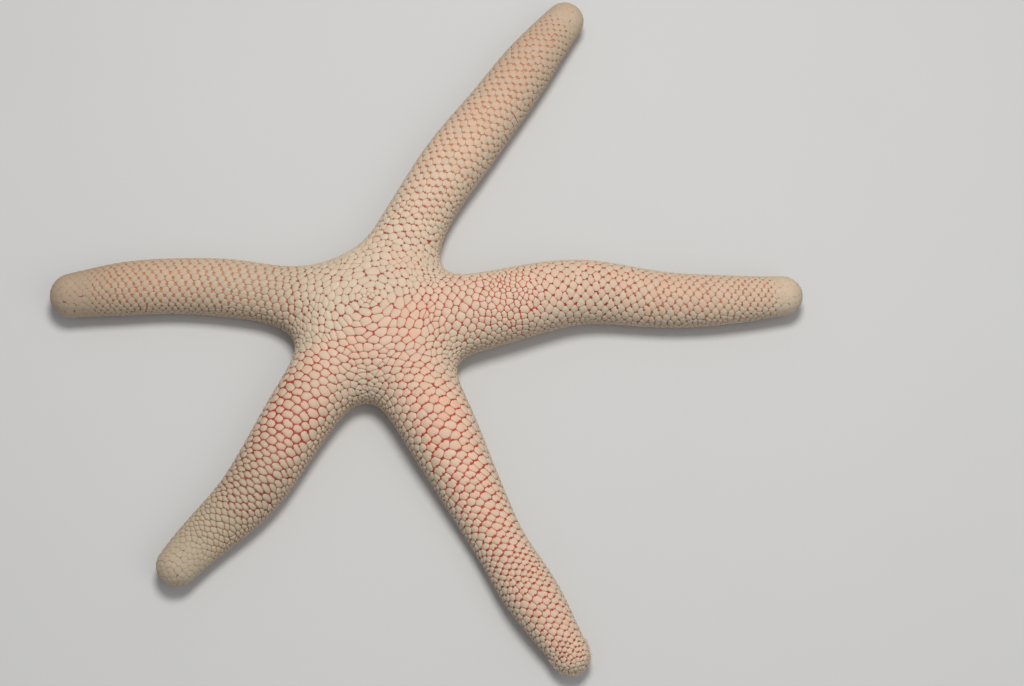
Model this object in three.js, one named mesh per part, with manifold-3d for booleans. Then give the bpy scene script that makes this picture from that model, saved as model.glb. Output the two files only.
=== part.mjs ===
// Finger-armed sea star, life size. Millimetres, +Z up, resting on its oral
// side on Z = 0. The whole body is one smooth solid function (five swept oval
// arms blended into a low disc, cut flat below and grooved along each arm),
// and it is parted into a disc and three lengths of each arm by thin cuts.
import * as THREE from 'three';
import Module from 'manifold-3d';

// ---------------------------------------------------------------- dimensions
const DISC_CENTRE = [-8.44, -0.31];   // disc centre from the middle of the footprint
const DISC_RADIUS = 12.8;          // of the blended disc, between the arms
const DISC_HALF_HEIGHT = 6.3;
const DISC_AXIS_HEIGHT = 2.6;      // height of the disc oval's widest level
const BLEND = 2.1;                 // softness of the web where arms and disc join
const OVAL = 0.90;                 // arm half height over half width
const SEAT = 0.72;                 // arm axis height over its half height (under 1: flat oral side)
const ROOT_SINK = 0.42;            // how much the arm oval shrinks in height at the centre
const ROOT_REACH = 11.0;           // distance over which it does
const ORAL_ROUND = 0.6;            // rounding where the side meets the flat oral side
const GROOVE_WIDTH = 0.26;         // groove half width over arm half width
const GROOVE_DEPTH = 0.28;         // groove depth over arm half width
const MOUTH_RADIUS = 3.2;
const MOUTH_DEPTH = 2.4;
const GAP = 0.3;                   // the thin cut between two pieces
const DISC_CUT = 17.6;             // distance along each arm where the disc ends
const STEP = 2.7;                  // spacing of the arm sections

// Arms clockwise from the one that points away (+Y). Headings in degrees and
// half widths in mm, at even stations from the disc centre to the tip's centre.
const ARMS = [
  { name: 'arm_1', length: 70.2, lift: 1.2,
    heading: [76.2, 70.1, 59.7, 56.0, 57.0, 53.0], half: [6.6, 6.2, 5.7, 5.85, 5.4, 4.9, 3.6] },
  { name: 'arm_2', length: 72.1, lift: 1.2,
    heading: [-9.1, 10.4, 14.4, -7.3, 0.9, 5.8], half: [6.6, 6.9, 6.6, 5.9, 5.2, 4.6, 3.55] },
  { name: 'arm_3', length: 69.4, lift: 1.0,
    heading: [-61.5, -62.1, -63.3, -62.7, -58.8, -58.3], half: [6.4, 6.7, 6.45, 5.4, 4.5, 4.65, 3.25] },
  { name: 'arm_4', length: 56.2, lift: 1.2,
    heading: [-131.4, -125.4, -119.8, -119.2, -134, -127.5], half: [6.3, 6.5, 6.2, 5.8, 5.35, 4.5, 3.6] },
  { name: 'arm_5', length: 54.9, lift: 1.2,
    heading: [161.2, 166.2, 170.4, 178.1, 186, 190.4], half: [7.4, 6.5, 5.35, 5.25, 5.05, 4.85, 4.0] },
];

// ------------------------------------------------------------- the body shape
const clamp = (v, lo, hi) => Math.min(Math.max(v, lo), hi);

// smooth curve through evenly spaced values, t from 0 to 1
function along(values, t) {
  const n = values.length - 1;
  const x = clamp(t, 0, 1) * n;
  const i = Math.min(Math.floor(x), n - 1);
  const f = x - i;
  const slope = (k) => (k === 0 ? values[1] - values[0]
    : k === n ? values[n] - values[n - 1] : (values[k + 1] - values[k - 1]) / 2);
  return (2 * f ** 3 - 3 * f * f + 1) * values[i] + (f ** 3 - 2 * f * f + f) * slope(i)
    + (3 * f * f - 2 * f ** 3) * values[i + 1] + (f ** 3 - f * f) * slope(i + 1);
}

// plan line of an arm, walked from the disc centre
const WALK = 64;
for (const arm of ARMS) {
  arm.line = [[0, 0]];
  const ds = arm.length / WALK;
  for (let k = 0; k < WALK; k++) {
    const a = THREE.MathUtils.degToRad(along(arm.heading, (k + 0.5) / WALK));
    const [x, y] = arm.line[k];
    arm.line.push([x + Math.cos(a) * ds, y + Math.sin(a) * ds]);
  }
}

// point and heading at a distance s along an arm
function pointAt(arm, s) {
  const x = clamp(s / arm.length, 0, 1) * WALK;
  const i = Math.min(Math.floor(x), WALK - 1);
  const [p, q] = [arm.line[i], arm.line[i + 1]];
  const f = x - i;
  const a = THREE.MathUtils.degToRad(along(arm.heading, s / arm.length));
  return { x: p[0] + (q[0] - p[0]) * f, y: p[1] + (q[1] - p[1]) * f, c: Math.cos(a), s: Math.sin(a) };
}

// nearest place on an arm's plan line: distance along it and away from it
function nearest(arm, x, y) {
  const ds = arm.length / WALK;
  let best = Infinity; let at = 0;
  for (let k = 0; k < WALK; k++) {
    const [p, q] = [arm.line[k], arm.line[k + 1]];
    const ex = (q[0] - p[0]) / ds; const ey = (q[1] - p[1]) / ds;
    const w = clamp((x - p[0]) * ex + (y - p[1]) * ey, 0, ds);
    const d = (x - p[0] - ex * w) ** 2 + (y - p[1] - ey * w) ** 2;
    if (d < best) { best = d; at = k * ds + w; }
  }
  return { s: at, away: Math.sqrt(best) };
}

const halfWidth = (arm, s) => along(arm.half, s / arm.length);
const halfHeight = (arm, s) => halfWidth(arm, s) * OVAL * (1 - ROOT_SINK * Math.exp(-((s / ROOT_REACH) ** 2)));
const lift = (arm, s) => arm.lift * clamp((s / arm.length - 0.55) / 0.45, 0, 1) ** 2;
const axisHeight = (arm, s) => halfHeight(arm, s) * SEAT + lift(arm, s);

// signed distance to an oval, near enough for blending
function oval(u, v, a, b) {
  const k0 = Math.hypot(u / a, v / b);
  const k1 = Math.hypot(u / (a * a), v / (b * b));
  return k1 < 1e-9 ? -Math.min(a, b) : k0 * (k0 - 1) / k1;
}

function smoothMax(a, b, k) {
  const h = Math.max(k - Math.abs(a - b), 0) / k;
  return Math.max(a, b) + h * h * k / 4;
}

// negative inside the sea star, positive outside
function body(x, y, z) {
  let sum = Math.exp(-clamp(oval(Math.hypot(x, y), z - DISC_AXIS_HEIGHT, DISC_RADIUS, DISC_HALF_HEIGHT) / BLEND, -60, 60));
  let floor = 0;
  for (const arm of ARMS) {
    const n = nearest(arm, x, y);
    const a = halfWidth(arm, n.s);
    sum += Math.exp(-clamp(oval(n.away, z - axisHeight(arm, n.s), a, halfHeight(arm, n.s)) / BLEND, -60, 60));
    const raised = n.away < a + 3 ? lift(arm, n.s) : 0;
    const w = n.away / (GROOVE_WIDTH * a);
    const groove = w < 1 ? GROOVE_DEPTH * a * (1 - w * w) ** 2 : 0;
    floor = Math.max(floor, raised + groove);
  }
  const m = Math.hypot(x, y) / MOUTH_RADIUS;
  if (m < 1) floor = Math.max(floor, MOUTH_DEPTH * (1 - m * m) ** 2);
  return smoothMax(-BLEND * Math.log(sum), floor - z, ORAL_ROUND);
}

// where the surface lies on a straight path from an inside point
function reach(px, py, pz, dx, dy, dz, far) {
  let lo = 0; let hi = 0.5;
  while (hi < far && body(px + dx * hi, py + dy * hi, pz + dz * hi) < 0) { lo = hi; hi += 0.5; }
  if (hi >= far) { hi = far; if (body(px + dx * far, py + dy * far, pz + dz * far) < 0) return far; }
  for (let k = 0; k < 26; k++) {
    const mid = (lo + hi) / 2;
    if (body(px + dx * mid, py + dy * mid, pz + dz * mid) < 0) lo = mid; else hi = mid;
  }
  return (lo + hi) / 2;
}

// --------------------------------------------------------------- arm lengths
// one section's rays: [sideways, up], first the oral side from one edge to the
// other, then over the back
const ORAL_STOPS = [-0.56, -0.40, -0.27, -0.13, 0, 0.13, 0.27, 0.40, 0.56];
const BACK_RAYS = 15;
function sectionRays(arm, s) {
  const a = halfWidth(arm, s);
  const top = axisHeight(arm, s) - lift(arm, s);
  const rays = ORAL_STOPS.map((f) => {
    const g = Math.abs(f) < GROOVE_WIDTH ? GROOVE_DEPTH * a * (1 - (f / GROOVE_WIDTH) ** 2) ** 2 : 0;
    const l = Math.hypot(f * a, top - g);
    return [f * a / l, (g - top) / l];
  });
  for (let k = 0; k < BACK_RAYS; k++) {
    const t = THREE.MathUtils.degToRad(112 - 224 * k / (BACK_RAYS - 1));
    rays.push([Math.sin(t), Math.cos(t)]);
  }
  return rays;
}

// rings of vertices from one distance to another, rounded off at the tip
function armLength(arm, from, to, isTip) {
  const vertices = []; const triangles = [];
  const steps = Math.max(2, Math.round((to - from) / STEP));
  const count = ORAL_STOPS.length + BACK_RAYS;
  const rings = [];
  const addRing = (s, tilt) => {
    const p = pointAt(arm, s); const z0 = axisHeight(arm, s);
    const ring = [];
    for (const [side, up] of sectionRays(arm, s)) {
      const c = Math.cos(tilt); const f = Math.sin(tilt);
      const dx = side * c * p.s + f * p.c; const dy = -side * c * p.c + f * p.s; const dz = up * c;
      const t = reach(p.x, p.y, z0, dx, dy, dz, 14);
      ring.push(vertices.length);
      vertices.push([p.x + dx * t, p.y + dy * t, z0 + dz * t]);
    }
    rings.push(ring);
  };
  for (let k = 0; k <= steps; k++) addRing(from + (to - from) * k / steps, 0);
  if (isTip) for (const tilt of [20, 40, 60, 76]) addRing(to, THREE.MathUtils.degToRad(tilt));
  for (let r = 0; r + 1 < rings.length; r++) {
    for (let k = 0; k < count; k++) {
      const n = (k + 1) % count;
      const [a, b, c, d] = [rings[r][k], rings[r][n], rings[r + 1][n], rings[r + 1][k]];
      triangles.push([a, c, b], [a, d, c]);
    }
  }
  const close = (ring, centre, flip) => {
    const m = vertices.length; vertices.push(centre);
    for (let k = 0; k < count; k++) {
      const n = (k + 1) % count;
      triangles.push(flip ? [m, ring[k], ring[n]] : [m, ring[n], ring[k]]);
    }
  };
  const p0 = pointAt(arm, from);
  close(rings[0], [p0.x, p0.y, axisHeight(arm, from)], true);
  const p1 = pointAt(arm, to); const z1 = axisHeight(arm, to);
  const t = isTip ? reach(p1.x, p1.y, z1, p1.c, p1.s, 0, 14) : 0;
  close(rings[rings.length - 1], [p1.x + p1.c * t, p1.y + p1.s * t, z1], false);
  return { vertices, triangles };
}

// ---------------------------------------------------------------------- disc
const ROUND = 96;                  // spokes
const BACK_ROWS = 10;
const ORAL_ROWS = 9;
const OUTER = 20.5;                // beyond every arm cut, trimmed off below
const WIDEST = 3.6;                // height at which the disc's edge is found
function discBlank() {
  const vertices = []; const triangles = [];
  const sheets = [];
  for (const upper of [true, false]) {
    const rows = upper ? BACK_ROWS : ORAL_ROWS;
    const sheet = [];
    const centre = vertices.length;
    const z0 = 5.2;
    vertices.push([0, 0, z0 + (upper ? 1 : -1) * reach(0, 0, z0, 0, 0, upper ? 1 : -1, 14)]);
    for (let r = 1; r <= rows; r++) {
      const row = [];
      for (let k = 0; k < ROUND; k++) {
        const a = 2 * Math.PI * k / ROUND; const c = Math.cos(a); const s = Math.sin(a);
        const edge = reach(0, 0, WIDEST, c, s, 0, OUTER) - 0.03;
        const out = edge * (upper ? Math.sin(Math.PI / 2 * r / rows) * 0.35 + 0.65 * r / rows : r / rows);
        const x = c * out; const y = s * out;
        row.push(vertices.length);
        vertices.push([x, y, WIDEST + (upper ? 1 : -1) * reach(x, y, WIDEST, 0, 0, upper ? 1 : -1, 14)]);
      }
      sheet.push(row);
    }
    for (let k = 0; k < ROUND; k++) {
      const n = (k + 1) % ROUND;
      triangles.push(upper ? [centre, sheet[0][k], sheet[0][n]] : [centre, sheet[0][n], sheet[0][k]]);
      for (let r = 0; r + 1 < rows; r++) {
        const [a, b, c, d] = [sheet[r][k], sheet[r + 1][k], sheet[r + 1][n], sheet[r][n]];
        if (upper) triangles.push([a, b, c], [a, c, d]); else triangles.push([a, c, b], [a, d, c]);
      }
    }
    sheets.push(sheet[rows - 1]);
  }
  for (let k = 0; k < ROUND; k++) {
    const n = (k + 1) % ROUND; const [u, l] = sheets;
    triangles.push([u[k], l[k], l[n]], [u[k], l[n], u[n]]);
  }
  return { vertices, triangles };
}

// --------------------------------------------------------------------- build
const wasm = await Module();
wasm.setup();

function toManifold({ vertices, triangles }) {
  return new wasm.Manifold(new wasm.Mesh({
    numProp: 3, vertProperties: new Float32Array(vertices.flat()), triVerts: new Uint32Array(triangles.flat()),
  }));
}

function toMesh(name, vertices, triangles, colour) {
  const geometry = new THREE.BufferGeometry();
  geometry.setAttribute('position', new THREE.Float32BufferAttribute(vertices, 3));
  geometry.setIndex(triangles);
  geometry.computeVertexNormals();
  const mesh = new THREE.Mesh(geometry, new THREE.MeshStandardMaterial({ color: colour, roughness: 0.75, metalness: 0 }));
  mesh.name = name;
  return mesh;
}

const star = new THREE.Group();
star.name = 'sea_star';

let disc = toManifold(discBlank());
for (const arm of ARMS) {
  const p = pointAt(arm, DISC_CUT - GAP / 2);
  disc = disc.trimByPlane([-p.c, -p.s, 0], -(p.x * p.c + p.y * p.s));
}
const cut = disc.getMesh();
star.add(toMesh('disc', Array.from(cut.vertProperties), Array.from(cut.triVerts), 0xe3bfa0));

for (const arm of ARMS) {
  const run = (arm.length - DISC_CUT) / 3;
  ['base', 'middle', 'tip'].forEach((part, k) => {
    const from = DISC_CUT + run * k + GAP / 2;
    const isTip = k === 2;
    const to = isTip ? arm.length : DISC_CUT + run * (k + 1) - GAP / 2;
    const { vertices, triangles } = armLength(arm, from, to, isTip);
    star.add(toMesh(`${arm.name}_${part}`, vertices.flat(), triangles.flat(), [0xdcb899, 0xd9b698, 0xd0ae8c][k]));
  });
}
star.position.set(DISC_CENTRE[0], DISC_CENTRE[1], 0);

export default star;
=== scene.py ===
# Looks of the finger-armed sea star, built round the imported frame. The body is
# one smooth function (the same as the solids'); the skin, every plate, spinelet
# and tube foot is real mesh laid on its level surfaces.
import math

import bpy
import numpy as np
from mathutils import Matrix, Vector
from mathutils.kdtree import KDTree


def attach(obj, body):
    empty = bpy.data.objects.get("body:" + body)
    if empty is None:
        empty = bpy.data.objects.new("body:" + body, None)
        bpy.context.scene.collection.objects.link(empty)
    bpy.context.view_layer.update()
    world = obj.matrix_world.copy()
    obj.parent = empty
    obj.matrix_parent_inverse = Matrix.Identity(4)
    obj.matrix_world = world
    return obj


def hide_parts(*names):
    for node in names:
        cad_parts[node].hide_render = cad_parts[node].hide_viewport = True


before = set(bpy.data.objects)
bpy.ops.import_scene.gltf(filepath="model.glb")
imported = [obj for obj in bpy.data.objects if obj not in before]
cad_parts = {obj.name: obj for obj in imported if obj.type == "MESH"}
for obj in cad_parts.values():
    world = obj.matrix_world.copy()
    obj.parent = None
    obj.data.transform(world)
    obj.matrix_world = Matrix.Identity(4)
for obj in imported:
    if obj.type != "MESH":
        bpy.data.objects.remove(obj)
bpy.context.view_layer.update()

RNG = np.random.default_rng(20261)
MM = 0.001

# ------------------------------------------------------------ the body's shape
DISC_CENTRE = np.array([-8.44, -0.31])
DISC_RADIUS = 12.8
DISC_HALF_HEIGHT = 6.3
DISC_AXIS_HEIGHT = 2.6
BLEND = 2.1
OVAL = 0.90
SEAT = 0.72
ROOT_SINK = 0.42
ROOT_REACH = 11.0
ORAL_ROUND = 0.6
GROOVE_WIDTH = 0.26
GROOVE_DEPTH = 0.28
MOUTH_RADIUS = 3.2
MOUTH_DEPTH = 2.4

LENGTH = [70.2, 72.1, 69.4, 56.2, 54.9]
LIFT = [1.2, 1.2, 1.0, 1.2, 1.2]
HEADING = [
    [76.2, 70.1, 59.7, 56.0, 57.0, 53.0],
    [-9.1, 10.4, 14.4, -7.3, 0.9, 5.8],
    [-61.5, -62.1, -63.3, -62.7, -58.8, -58.3],
    [-131.4, -125.4, -119.8, -119.2, -134, -127.5],
    [161.2, 166.2, 170.4, 178.1, 186, 190.4],
]
HALF = [
    [6.6, 6.2, 5.7, 5.85, 5.4, 4.9, 3.6],
    [6.6, 6.9, 6.6, 5.9, 5.2, 4.6, 3.55],
    [6.4, 6.7, 6.45, 5.4, 4.5, 4.65, 3.25],
    [6.3, 6.5, 6.2, 5.8, 5.35, 4.5, 3.6],
    [7.4, 6.5, 5.35, 5.25, 5.05, 4.85, 4.0],
]
WALK = 64


def along(values, t):
    """Smooth curve through evenly spaced values, t from 0 to 1."""
    v = np.asarray(values, float)
    n = len(v) - 1
    x = np.clip(t, 0, 1) * n
    i = np.minimum(np.floor(x).astype(int), n - 1)
    f = x - i
    m = np.empty(n + 1)
    m[0], m[n] = v[1] - v[0], v[n] - v[n - 1]
    m[1:n] = (v[2:] - v[:-2]) / 2
    return (
        (2 * f**3 - 3 * f**2 + 1) * v[i]
        + (f**3 - 2 * f**2 + f) * m[i]
        + (3 * f**2 - 2 * f**3) * v[i + 1]
        + (f**3 - f**2) * m[i + 1]
    )


def smooth01(x, lo, hi):
    t = np.clip((np.asarray(x, float) - lo) / (hi - lo), 0, 1)
    return t * t * (3 - 2 * t)


LINES = []
for L, head in zip(LENGTH, HEADING):
    a = np.radians(along(head, (np.arange(WALK) + 0.5) / WALK))
    line = np.zeros((WALK + 1, 2))
    line[1:, 0] = np.cumsum(np.cos(a) * L / WALK)
    line[1:, 1] = np.cumsum(np.sin(a) * L / WALK)
    LINES.append(line + DISC_CENTRE)


def point_at(arm, s):
    """Plan point and unit heading at distances s along an arm."""
    s = np.asarray(s, float)
    x = np.clip(s / LENGTH[arm], 0, 1) * WALK
    i = np.minimum(np.floor(x).astype(int), WALK - 1)
    f = (x - i)[..., None]
    p = LINES[arm][i] * (1 - f) + LINES[arm][i + 1] * f
    a = np.radians(along(HEADING[arm], s / LENGTH[arm]))
    return p, np.stack([np.cos(a), np.sin(a)], -1)


def nearest(arm, xy):
    """Distance along an arm's line, away from it, and to its left (+) of it."""
    ds = LENGTH[arm] / WALK
    a = LINES[arm][:-1]
    e = (LINES[arm][1:] - a) / ds
    out_s = np.empty(len(xy))
    out_d = np.empty(len(xy))
    out_l = np.empty(len(xy))
    for k in range(0, len(xy), 40000):
        q = xy[k : k + 40000]
        dx = q[:, None, 0] - a[None, :, 0]
        dy = q[:, None, 1] - a[None, :, 1]
        w = np.clip(dx * e[:, 0] + dy * e[:, 1], 0, ds)
        d = (dx - w * e[:, 0]) ** 2 + (dy - w * e[:, 1]) ** 2
        j = d.argmin(1)
        r = np.arange(len(q))
        out_s[k : k + 40000] = j * ds + w[r, j]
        out_d[k : k + 40000] = np.sqrt(d[r, j])
        out_l[k : k + 40000] = e[j, 0] * dy[r, j] - e[j, 1] * dx[r, j]
    return out_s, out_d, out_l


def half_width(arm, s):
    return along(HALF[arm], s / LENGTH[arm])


def half_height(arm, s):
    return half_width(arm, s) * OVAL * (1 - ROOT_SINK * np.exp(-((s / ROOT_REACH) ** 2)))


def lift(arm, s):
    return LIFT[arm] * np.clip((s / LENGTH[arm] - 0.55) / 0.45, 0, 1) ** 2


def axis_height(arm, s):
    return half_height(arm, s) * SEAT + lift(arm, s)


def oval(u, v, a, b):
    k0 = np.hypot(u / a, v / b)
    k1 = np.maximum(np.hypot(u / (a * a), v / (b * b)), 1e-6)
    return k0 * (k0 - 1) / k1


def smooth_max(a, b, k):
    h = np.maximum(k - np.abs(a - b), 0) / k
    return np.maximum(a, b) + h * h * k / 4


# The function on a fine grid, sampled from there on.
H = 0.4
GX = np.arange(-69.2, 69.3, H)
GY = np.arange(-67.2, 67.3, H)
GZ = np.arange(-1.2, 12.6, H)
ORIGIN = np.array([GX[0], GY[0], GZ[0]])


def make_grid():
    plan = np.stack(np.meshgrid(GX, GY, indexing="ij"), -1).reshape(-1, 2)
    r = np.hypot(*(plan - DISC_CENTRE).T)
    z = GZ[None, :].astype(np.float32)
    total = np.exp(
        -np.clip(oval(r[:, None].astype(np.float32), z - DISC_AXIS_HEIGHT, DISC_RADIUS, DISC_HALF_HEIGHT) / BLEND, -60, 60)
    ).astype(np.float32)
    floor = np.zeros(len(plan))
    for arm in range(5):
        s, away, _ = nearest(arm, plan)
        a = half_width(arm, s)
        b = half_height(arm, s)
        c = axis_height(arm, s)
        close = away < a + 45
        f = lambda v: v[close, None].astype(np.float32)
        total[close] += np.exp(-np.clip(oval(f(away), z - f(c), f(a), f(b)) / BLEND, -60, 60))
        w = away / (GROOVE_WIDTH * a)
        groove = np.where(w < 1, GROOVE_DEPTH * a * (1 - np.minimum(w, 1) ** 2) ** 2, 0)
        floor = np.maximum(floor, np.where(away < a + 3, lift(arm, s), 0) + groove)
    m = np.minimum(r / MOUTH_RADIUS, 1)
    floor = np.maximum(floor, MOUTH_DEPTH * (1 - m * m) ** 2)
    F = smooth_max(-BLEND * np.log(np.maximum(total, 1e-26)), floor[:, None].astype(np.float32) - z, ORAL_ROUND)
    return F.reshape(len(GX), len(GY), len(GZ)).astype(np.float32)


FIELD = make_grid()
STACK = np.stack([FIELD, *np.gradient(FIELD, H)], -1).astype(np.float32)


def sample(P):
    """Value and gradient of the body's function at points in mm."""
    q = (P - ORIGIN) / H
    i = np.clip(np.floor(q).astype(int), 0, np.array(FIELD.shape) - 2)
    f = np.clip(q - i, 0, 1)
    out = 0
    for dx in (0, 1):
        for dy in (0, 1):
            for dz in (0, 1):
                w = (
                    (f[:, 0] if dx else 1 - f[:, 0])
                    * (f[:, 1] if dy else 1 - f[:, 1])
                    * (f[:, 2] if dz else 1 - f[:, 2])
                )
                out = out + w[:, None] * STACK[i[:, 0] + dx, i[:, 1] + dy, i[:, 2] + dz]
    return out[:, 0], out[:, 1:]


def normals_at(P):
    _, g = sample(P)
    return g / np.maximum(np.linalg.norm(g, axis=1), 1e-6)[:, None]


def to_level(P, level, steps=3):
    """Moves points straight in or out to a given depth of the body."""
    P = P.copy()
    for _ in range(steps):
        v, g = sample(P)
        m = np.maximum(np.linalg.norm(g, axis=1), 0.25)
        d = np.clip(v / m - level, -1.0, 1.0)
        P -= g / m[:, None] * d[:, None]
    return P


def level_surface(level):
    """Quads of the surface at a depth, one vertex to each crossed cell."""
    F = FIELD - level
    inside = F < 0
    nx, ny, nz = F.shape
    corner = [(dx, dy, dz) for dx in (0, 1) for dy in (0, 1) for dz in (0, 1)]
    cut = lambda A, c: A[c[0] : nx - 1 + c[0], c[1] : ny - 1 + c[1], c[2] : nz - 1 + c[2]]
    n_in = sum(cut(inside, c).astype(np.int8) for c in corner)
    cell = (n_in > 0) & (n_in < 8)
    index = -np.ones(cell.shape, int)
    ids = np.argwhere(cell)
    index[cell] = np.arange(len(ids))
    acc = np.zeros((len(ids), 3))
    cnt = np.zeros(len(ids))
    values = [F[ids[:, 0] + c[0], ids[:, 1] + c[1], ids[:, 2] + c[2]] for c in corner]
    for i, a in enumerate(corner):
        for j, b in enumerate(corner):
            if j > i and sum(abs(p - q) for p, q in zip(a, b)) == 1:
                va, vb = values[i], values[j]
                on = (va < 0) != (vb < 0)
                t = np.where(on, va / np.where(on, va - vb, 1), 0)
                p = np.array(a) + t[:, None] * (np.array(b) - np.array(a))
                acc[on] += p[on]
                cnt[on] += 1
    verts = ORIGIN + (ids + acc / cnt[:, None]) * H
    quads = []
    for axis in range(3):
        o = [0, 1, 2]
        o.remove(axis)
        u, v = o
        lo = [slice(None)] * 3
        hi = [slice(None)] * 3
        lo[axis], hi[axis] = slice(0, -1), slice(1, None)
        A, B = inside[tuple(lo)], inside[tuple(hi)]
        e = np.argwhere(A != B)
        ok = (e[:, u] > 0) & (e[:, v] > 0) & (e[:, u] < F.shape[u] - 1) & (e[:, v] < F.shape[v] - 1)
        e = e[ok]
        q = []
        for du, dv in ((-1, -1), (0, -1), (0, 0), (-1, 0)):
            c = e.copy()
            c[:, u] += du
            c[:, v] += dv
            q.append(index[c[:, 0], c[:, 1], c[:, 2]])
        q = np.stack(q, 1)
        flip = ~A[e[:, 0], e[:, 1], e[:, 2]]
        if axis == 1:
            flip = ~flip
        q[flip] = q[flip][:, ::-1]
        quads.append(q)
    return verts, np.vstack(quads)


def locate(P):
    """For points near the surface: arm, distance along it, to its left, and away."""
    best = np.full(len(P), np.inf)
    arm = np.zeros(len(P), int)
    s = np.zeros(len(P))
    left = np.zeros(len(P))
    away = np.zeros(len(P))
    for k in range(5):
        sk, dk, lk = nearest(k, P[:, :2])
        b = dk < best
        best[b] = dk[b]
        arm[b], s[b], left[b], away[b] = k, sk[b], lk[b], dk[b]
    return arm, s, left, away


# ------------------------------------------------------------- the plates' lie
SKIN_DEPTH = 0.30  # the coat's depth: skin below the plates' crowns
# The plates of an arm's back stand in files along it. For each arm, at KNOTS mm
# along it: the step from plate to plate in a file, the step between files, and
# the files' drift to the left; then how far each file is shifted on the next.
KNOTS = [10, 20, 28, 36, 44, 52, 60, 68]
ALONG = [
    [1.42, 1.42, 1.60, 1.68, 1.60, 1.68, 1.76, 1.35],
    [1.60, 1.72, 2.08, 2.02, 1.92, 1.52, 1.45, 1.25],
    [1.60, 1.66, 1.66, 1.50, 1.55, 1.36, 1.38, 1.20],
    [2.30, 2.85, 2.70, 1.86, 1.50, 1.12, 1.1, 1.1],
    [1.45, 1.44, 1.56, 1.56, 1.46, 1.20, 1.2, 1.2],
]
ACROSS = [
    [1.55, 1.34, 1.32, 1.24, 1.20, 1.12, 1.08, 0.90],
    [1.55, 1.20, 1.06, 1.05, 1.02, 1.18, 1.14, 0.88],
    [1.62, 1.68, 1.68, 1.60, 1.20, 1.02, 1.22, 0.98],
    [1.12, 0.99, 0.95, 1.02, 0.94, 0.82, 0.8, 0.8],
    [1.50, 1.34, 1.09, 1.08, 1.00, 0.84, 0.8, 0.8],
]
DRIFT = [
    [0, 0, 0, -0.12, -0.04, 0, -0.12, 0],
    [0, 0, 0.12, 0, -0.06, -0.30, -0.25, -0.15],
    [0, 0.08, 0.20, 0.32, 0.06, 0, 0.08, 0],
    [0, -0.06, 0, 0.12, 0.06, 0, 0, 0],
    [0, 0.06, 0, 0, 0, 0, 0, 0],
]
SHIFT = [-0.45, -0.48, -0.40, -0.47, -0.37]
# how much the plates are drawn out across the arm, at its base, middle and end
ETA = [[1.10, 1.12, 1.10], [1.12, 1.28, 1.12], [1.14, 1.22, 1.14], [1.18, 1.46, 1.72], [1.10, 1.12, 1.10]]
CENTRE_ANUS = DISC_CENTRE + np.array([-1.2, 0.9])
SIEVE = np.array([-4.6, 8.0])  # a knot of tiny plates on the disc


def roundness(r):
    """How much plates are drawn out round the disc's middle, r mm from it."""
    return 1 + 0.40 * smooth01(r, 1.0, 2.6) * (1 - smooth01(r, 12, 20))


CLIMB_R = np.linspace(0, 100, 2001)
CLIMB = np.concatenate([[0], np.cumsum(np.sqrt(roundness(CLIMB_R[1:]) ** 2 - 1) * 0.05)])


def from_anus(P):
    return np.hypot(P[:, 0] - CENTRE_ANUS[0], P[:, 1] - CENTRE_ANUS[1])


def widening(k, s):
    fade = smooth01(s, 7, 17) * (1 - smooth01(s, LENGTH[k] - 6.0, LENGTH[k] - 1.5))
    return 1 + (along(ETA[k], (s - 14.0) / (LENGTH[k] - 14.0)) - 1) * fade


def file_steps(k, s):
    """Step along a file and step between files on arm k."""
    return np.interp(s, KNOTS, ALONG[k]), np.interp(s, KNOTS, ACROSS[k])


def stretch(P, arm, s):
    """The same body with its arms drawn longer and its disc drawn up into a cone,
    where plates are as long as wide."""
    Q = P.copy()
    Q[:, 2] += np.interp(from_anus(P), CLIMB_R, CLIMB)
    for k in range(5):
        on = arm == k
        t = np.linspace(0, LENGTH[k] + 6, 300)
        _, h = point_at(k, t)
        more = widening(k, t) - 1
        step = np.cumsum(more[:, None] * h, 0) * (t[1] - t[0])
        sk = s[on]
        Q[on, 0] += np.interp(sk, t, step[:, 0])
        Q[on, 1] += np.interp(sk, t, step[:, 1])
    return Q


def eta_at(P, arm, s):
    on_arm = np.select([arm == k for k in range(5)], [widening(k, s) for k in range(5)])
    return np.sqrt(on_arm**2 + roundness(from_anus(P)) ** 2 - 1)


# the webs' corners, found on the outline between each two arms
def find_notches():
    out = []
    for k in range(5):
        a = math.radians(HEADING[k][1])
        b = math.radians(HEADING[(k + 1) % 5][1])
        while b > a:
            b -= 2 * math.pi
        best = None
        for f in np.linspace(0.25, 0.75, 41):
            t = a + (b - a) * f
            r = np.arange(6, 30, 0.1)
            P = np.stack([DISC_CENTRE[0] + np.cos(t) * r, DISC_CENTRE[1] + np.sin(t) * r, np.full(len(r), 3.6)], -1)
            v, _ = sample(P)
            j = int(np.argmax(v > 0))
            if best is None or r[j] < best[0]:
                best = (r[j], P[j, :2])
        out.append(best[1])
    return np.array(out)  # after arm 1, after arm 2, ...


def find_ends():
    """Where the last plate of each arm sits, ahead of its line and a little up."""
    out = []
    for k in range(5):
        p, h = point_at(k, LENGTH[k])
        c = np.array([p[0], p[1], axis_height(k, LENGTH[k])])
        ray = np.array([h[0] * 0.80, h[1] * 0.80, 0.60])
        t = np.arange(0.5, 6, 0.02)
        v, _ = sample(c + ray * t[:, None])
        out.append(c + ray * t[int(np.argmax(v > 0))])
    return np.array(out)


ENDS = find_ends()
NOTCH = find_notches()
NOTCH_REACH = [4.2, 4.8, 5.8, 4.0, 3.4]
NOTCH_DROP = [0.32, 0.32, 0.30, 0.26, 0.24]


WAVES = RNG.normal(0, 1, (9, 3))
WAVES *= (2 * math.pi / RNG.uniform(3.2, 6.0, 9) / np.linalg.norm(WAVES, axis=1))[:, None]
PHASES = RNG.uniform(0, 2 * math.pi, 9)


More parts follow.
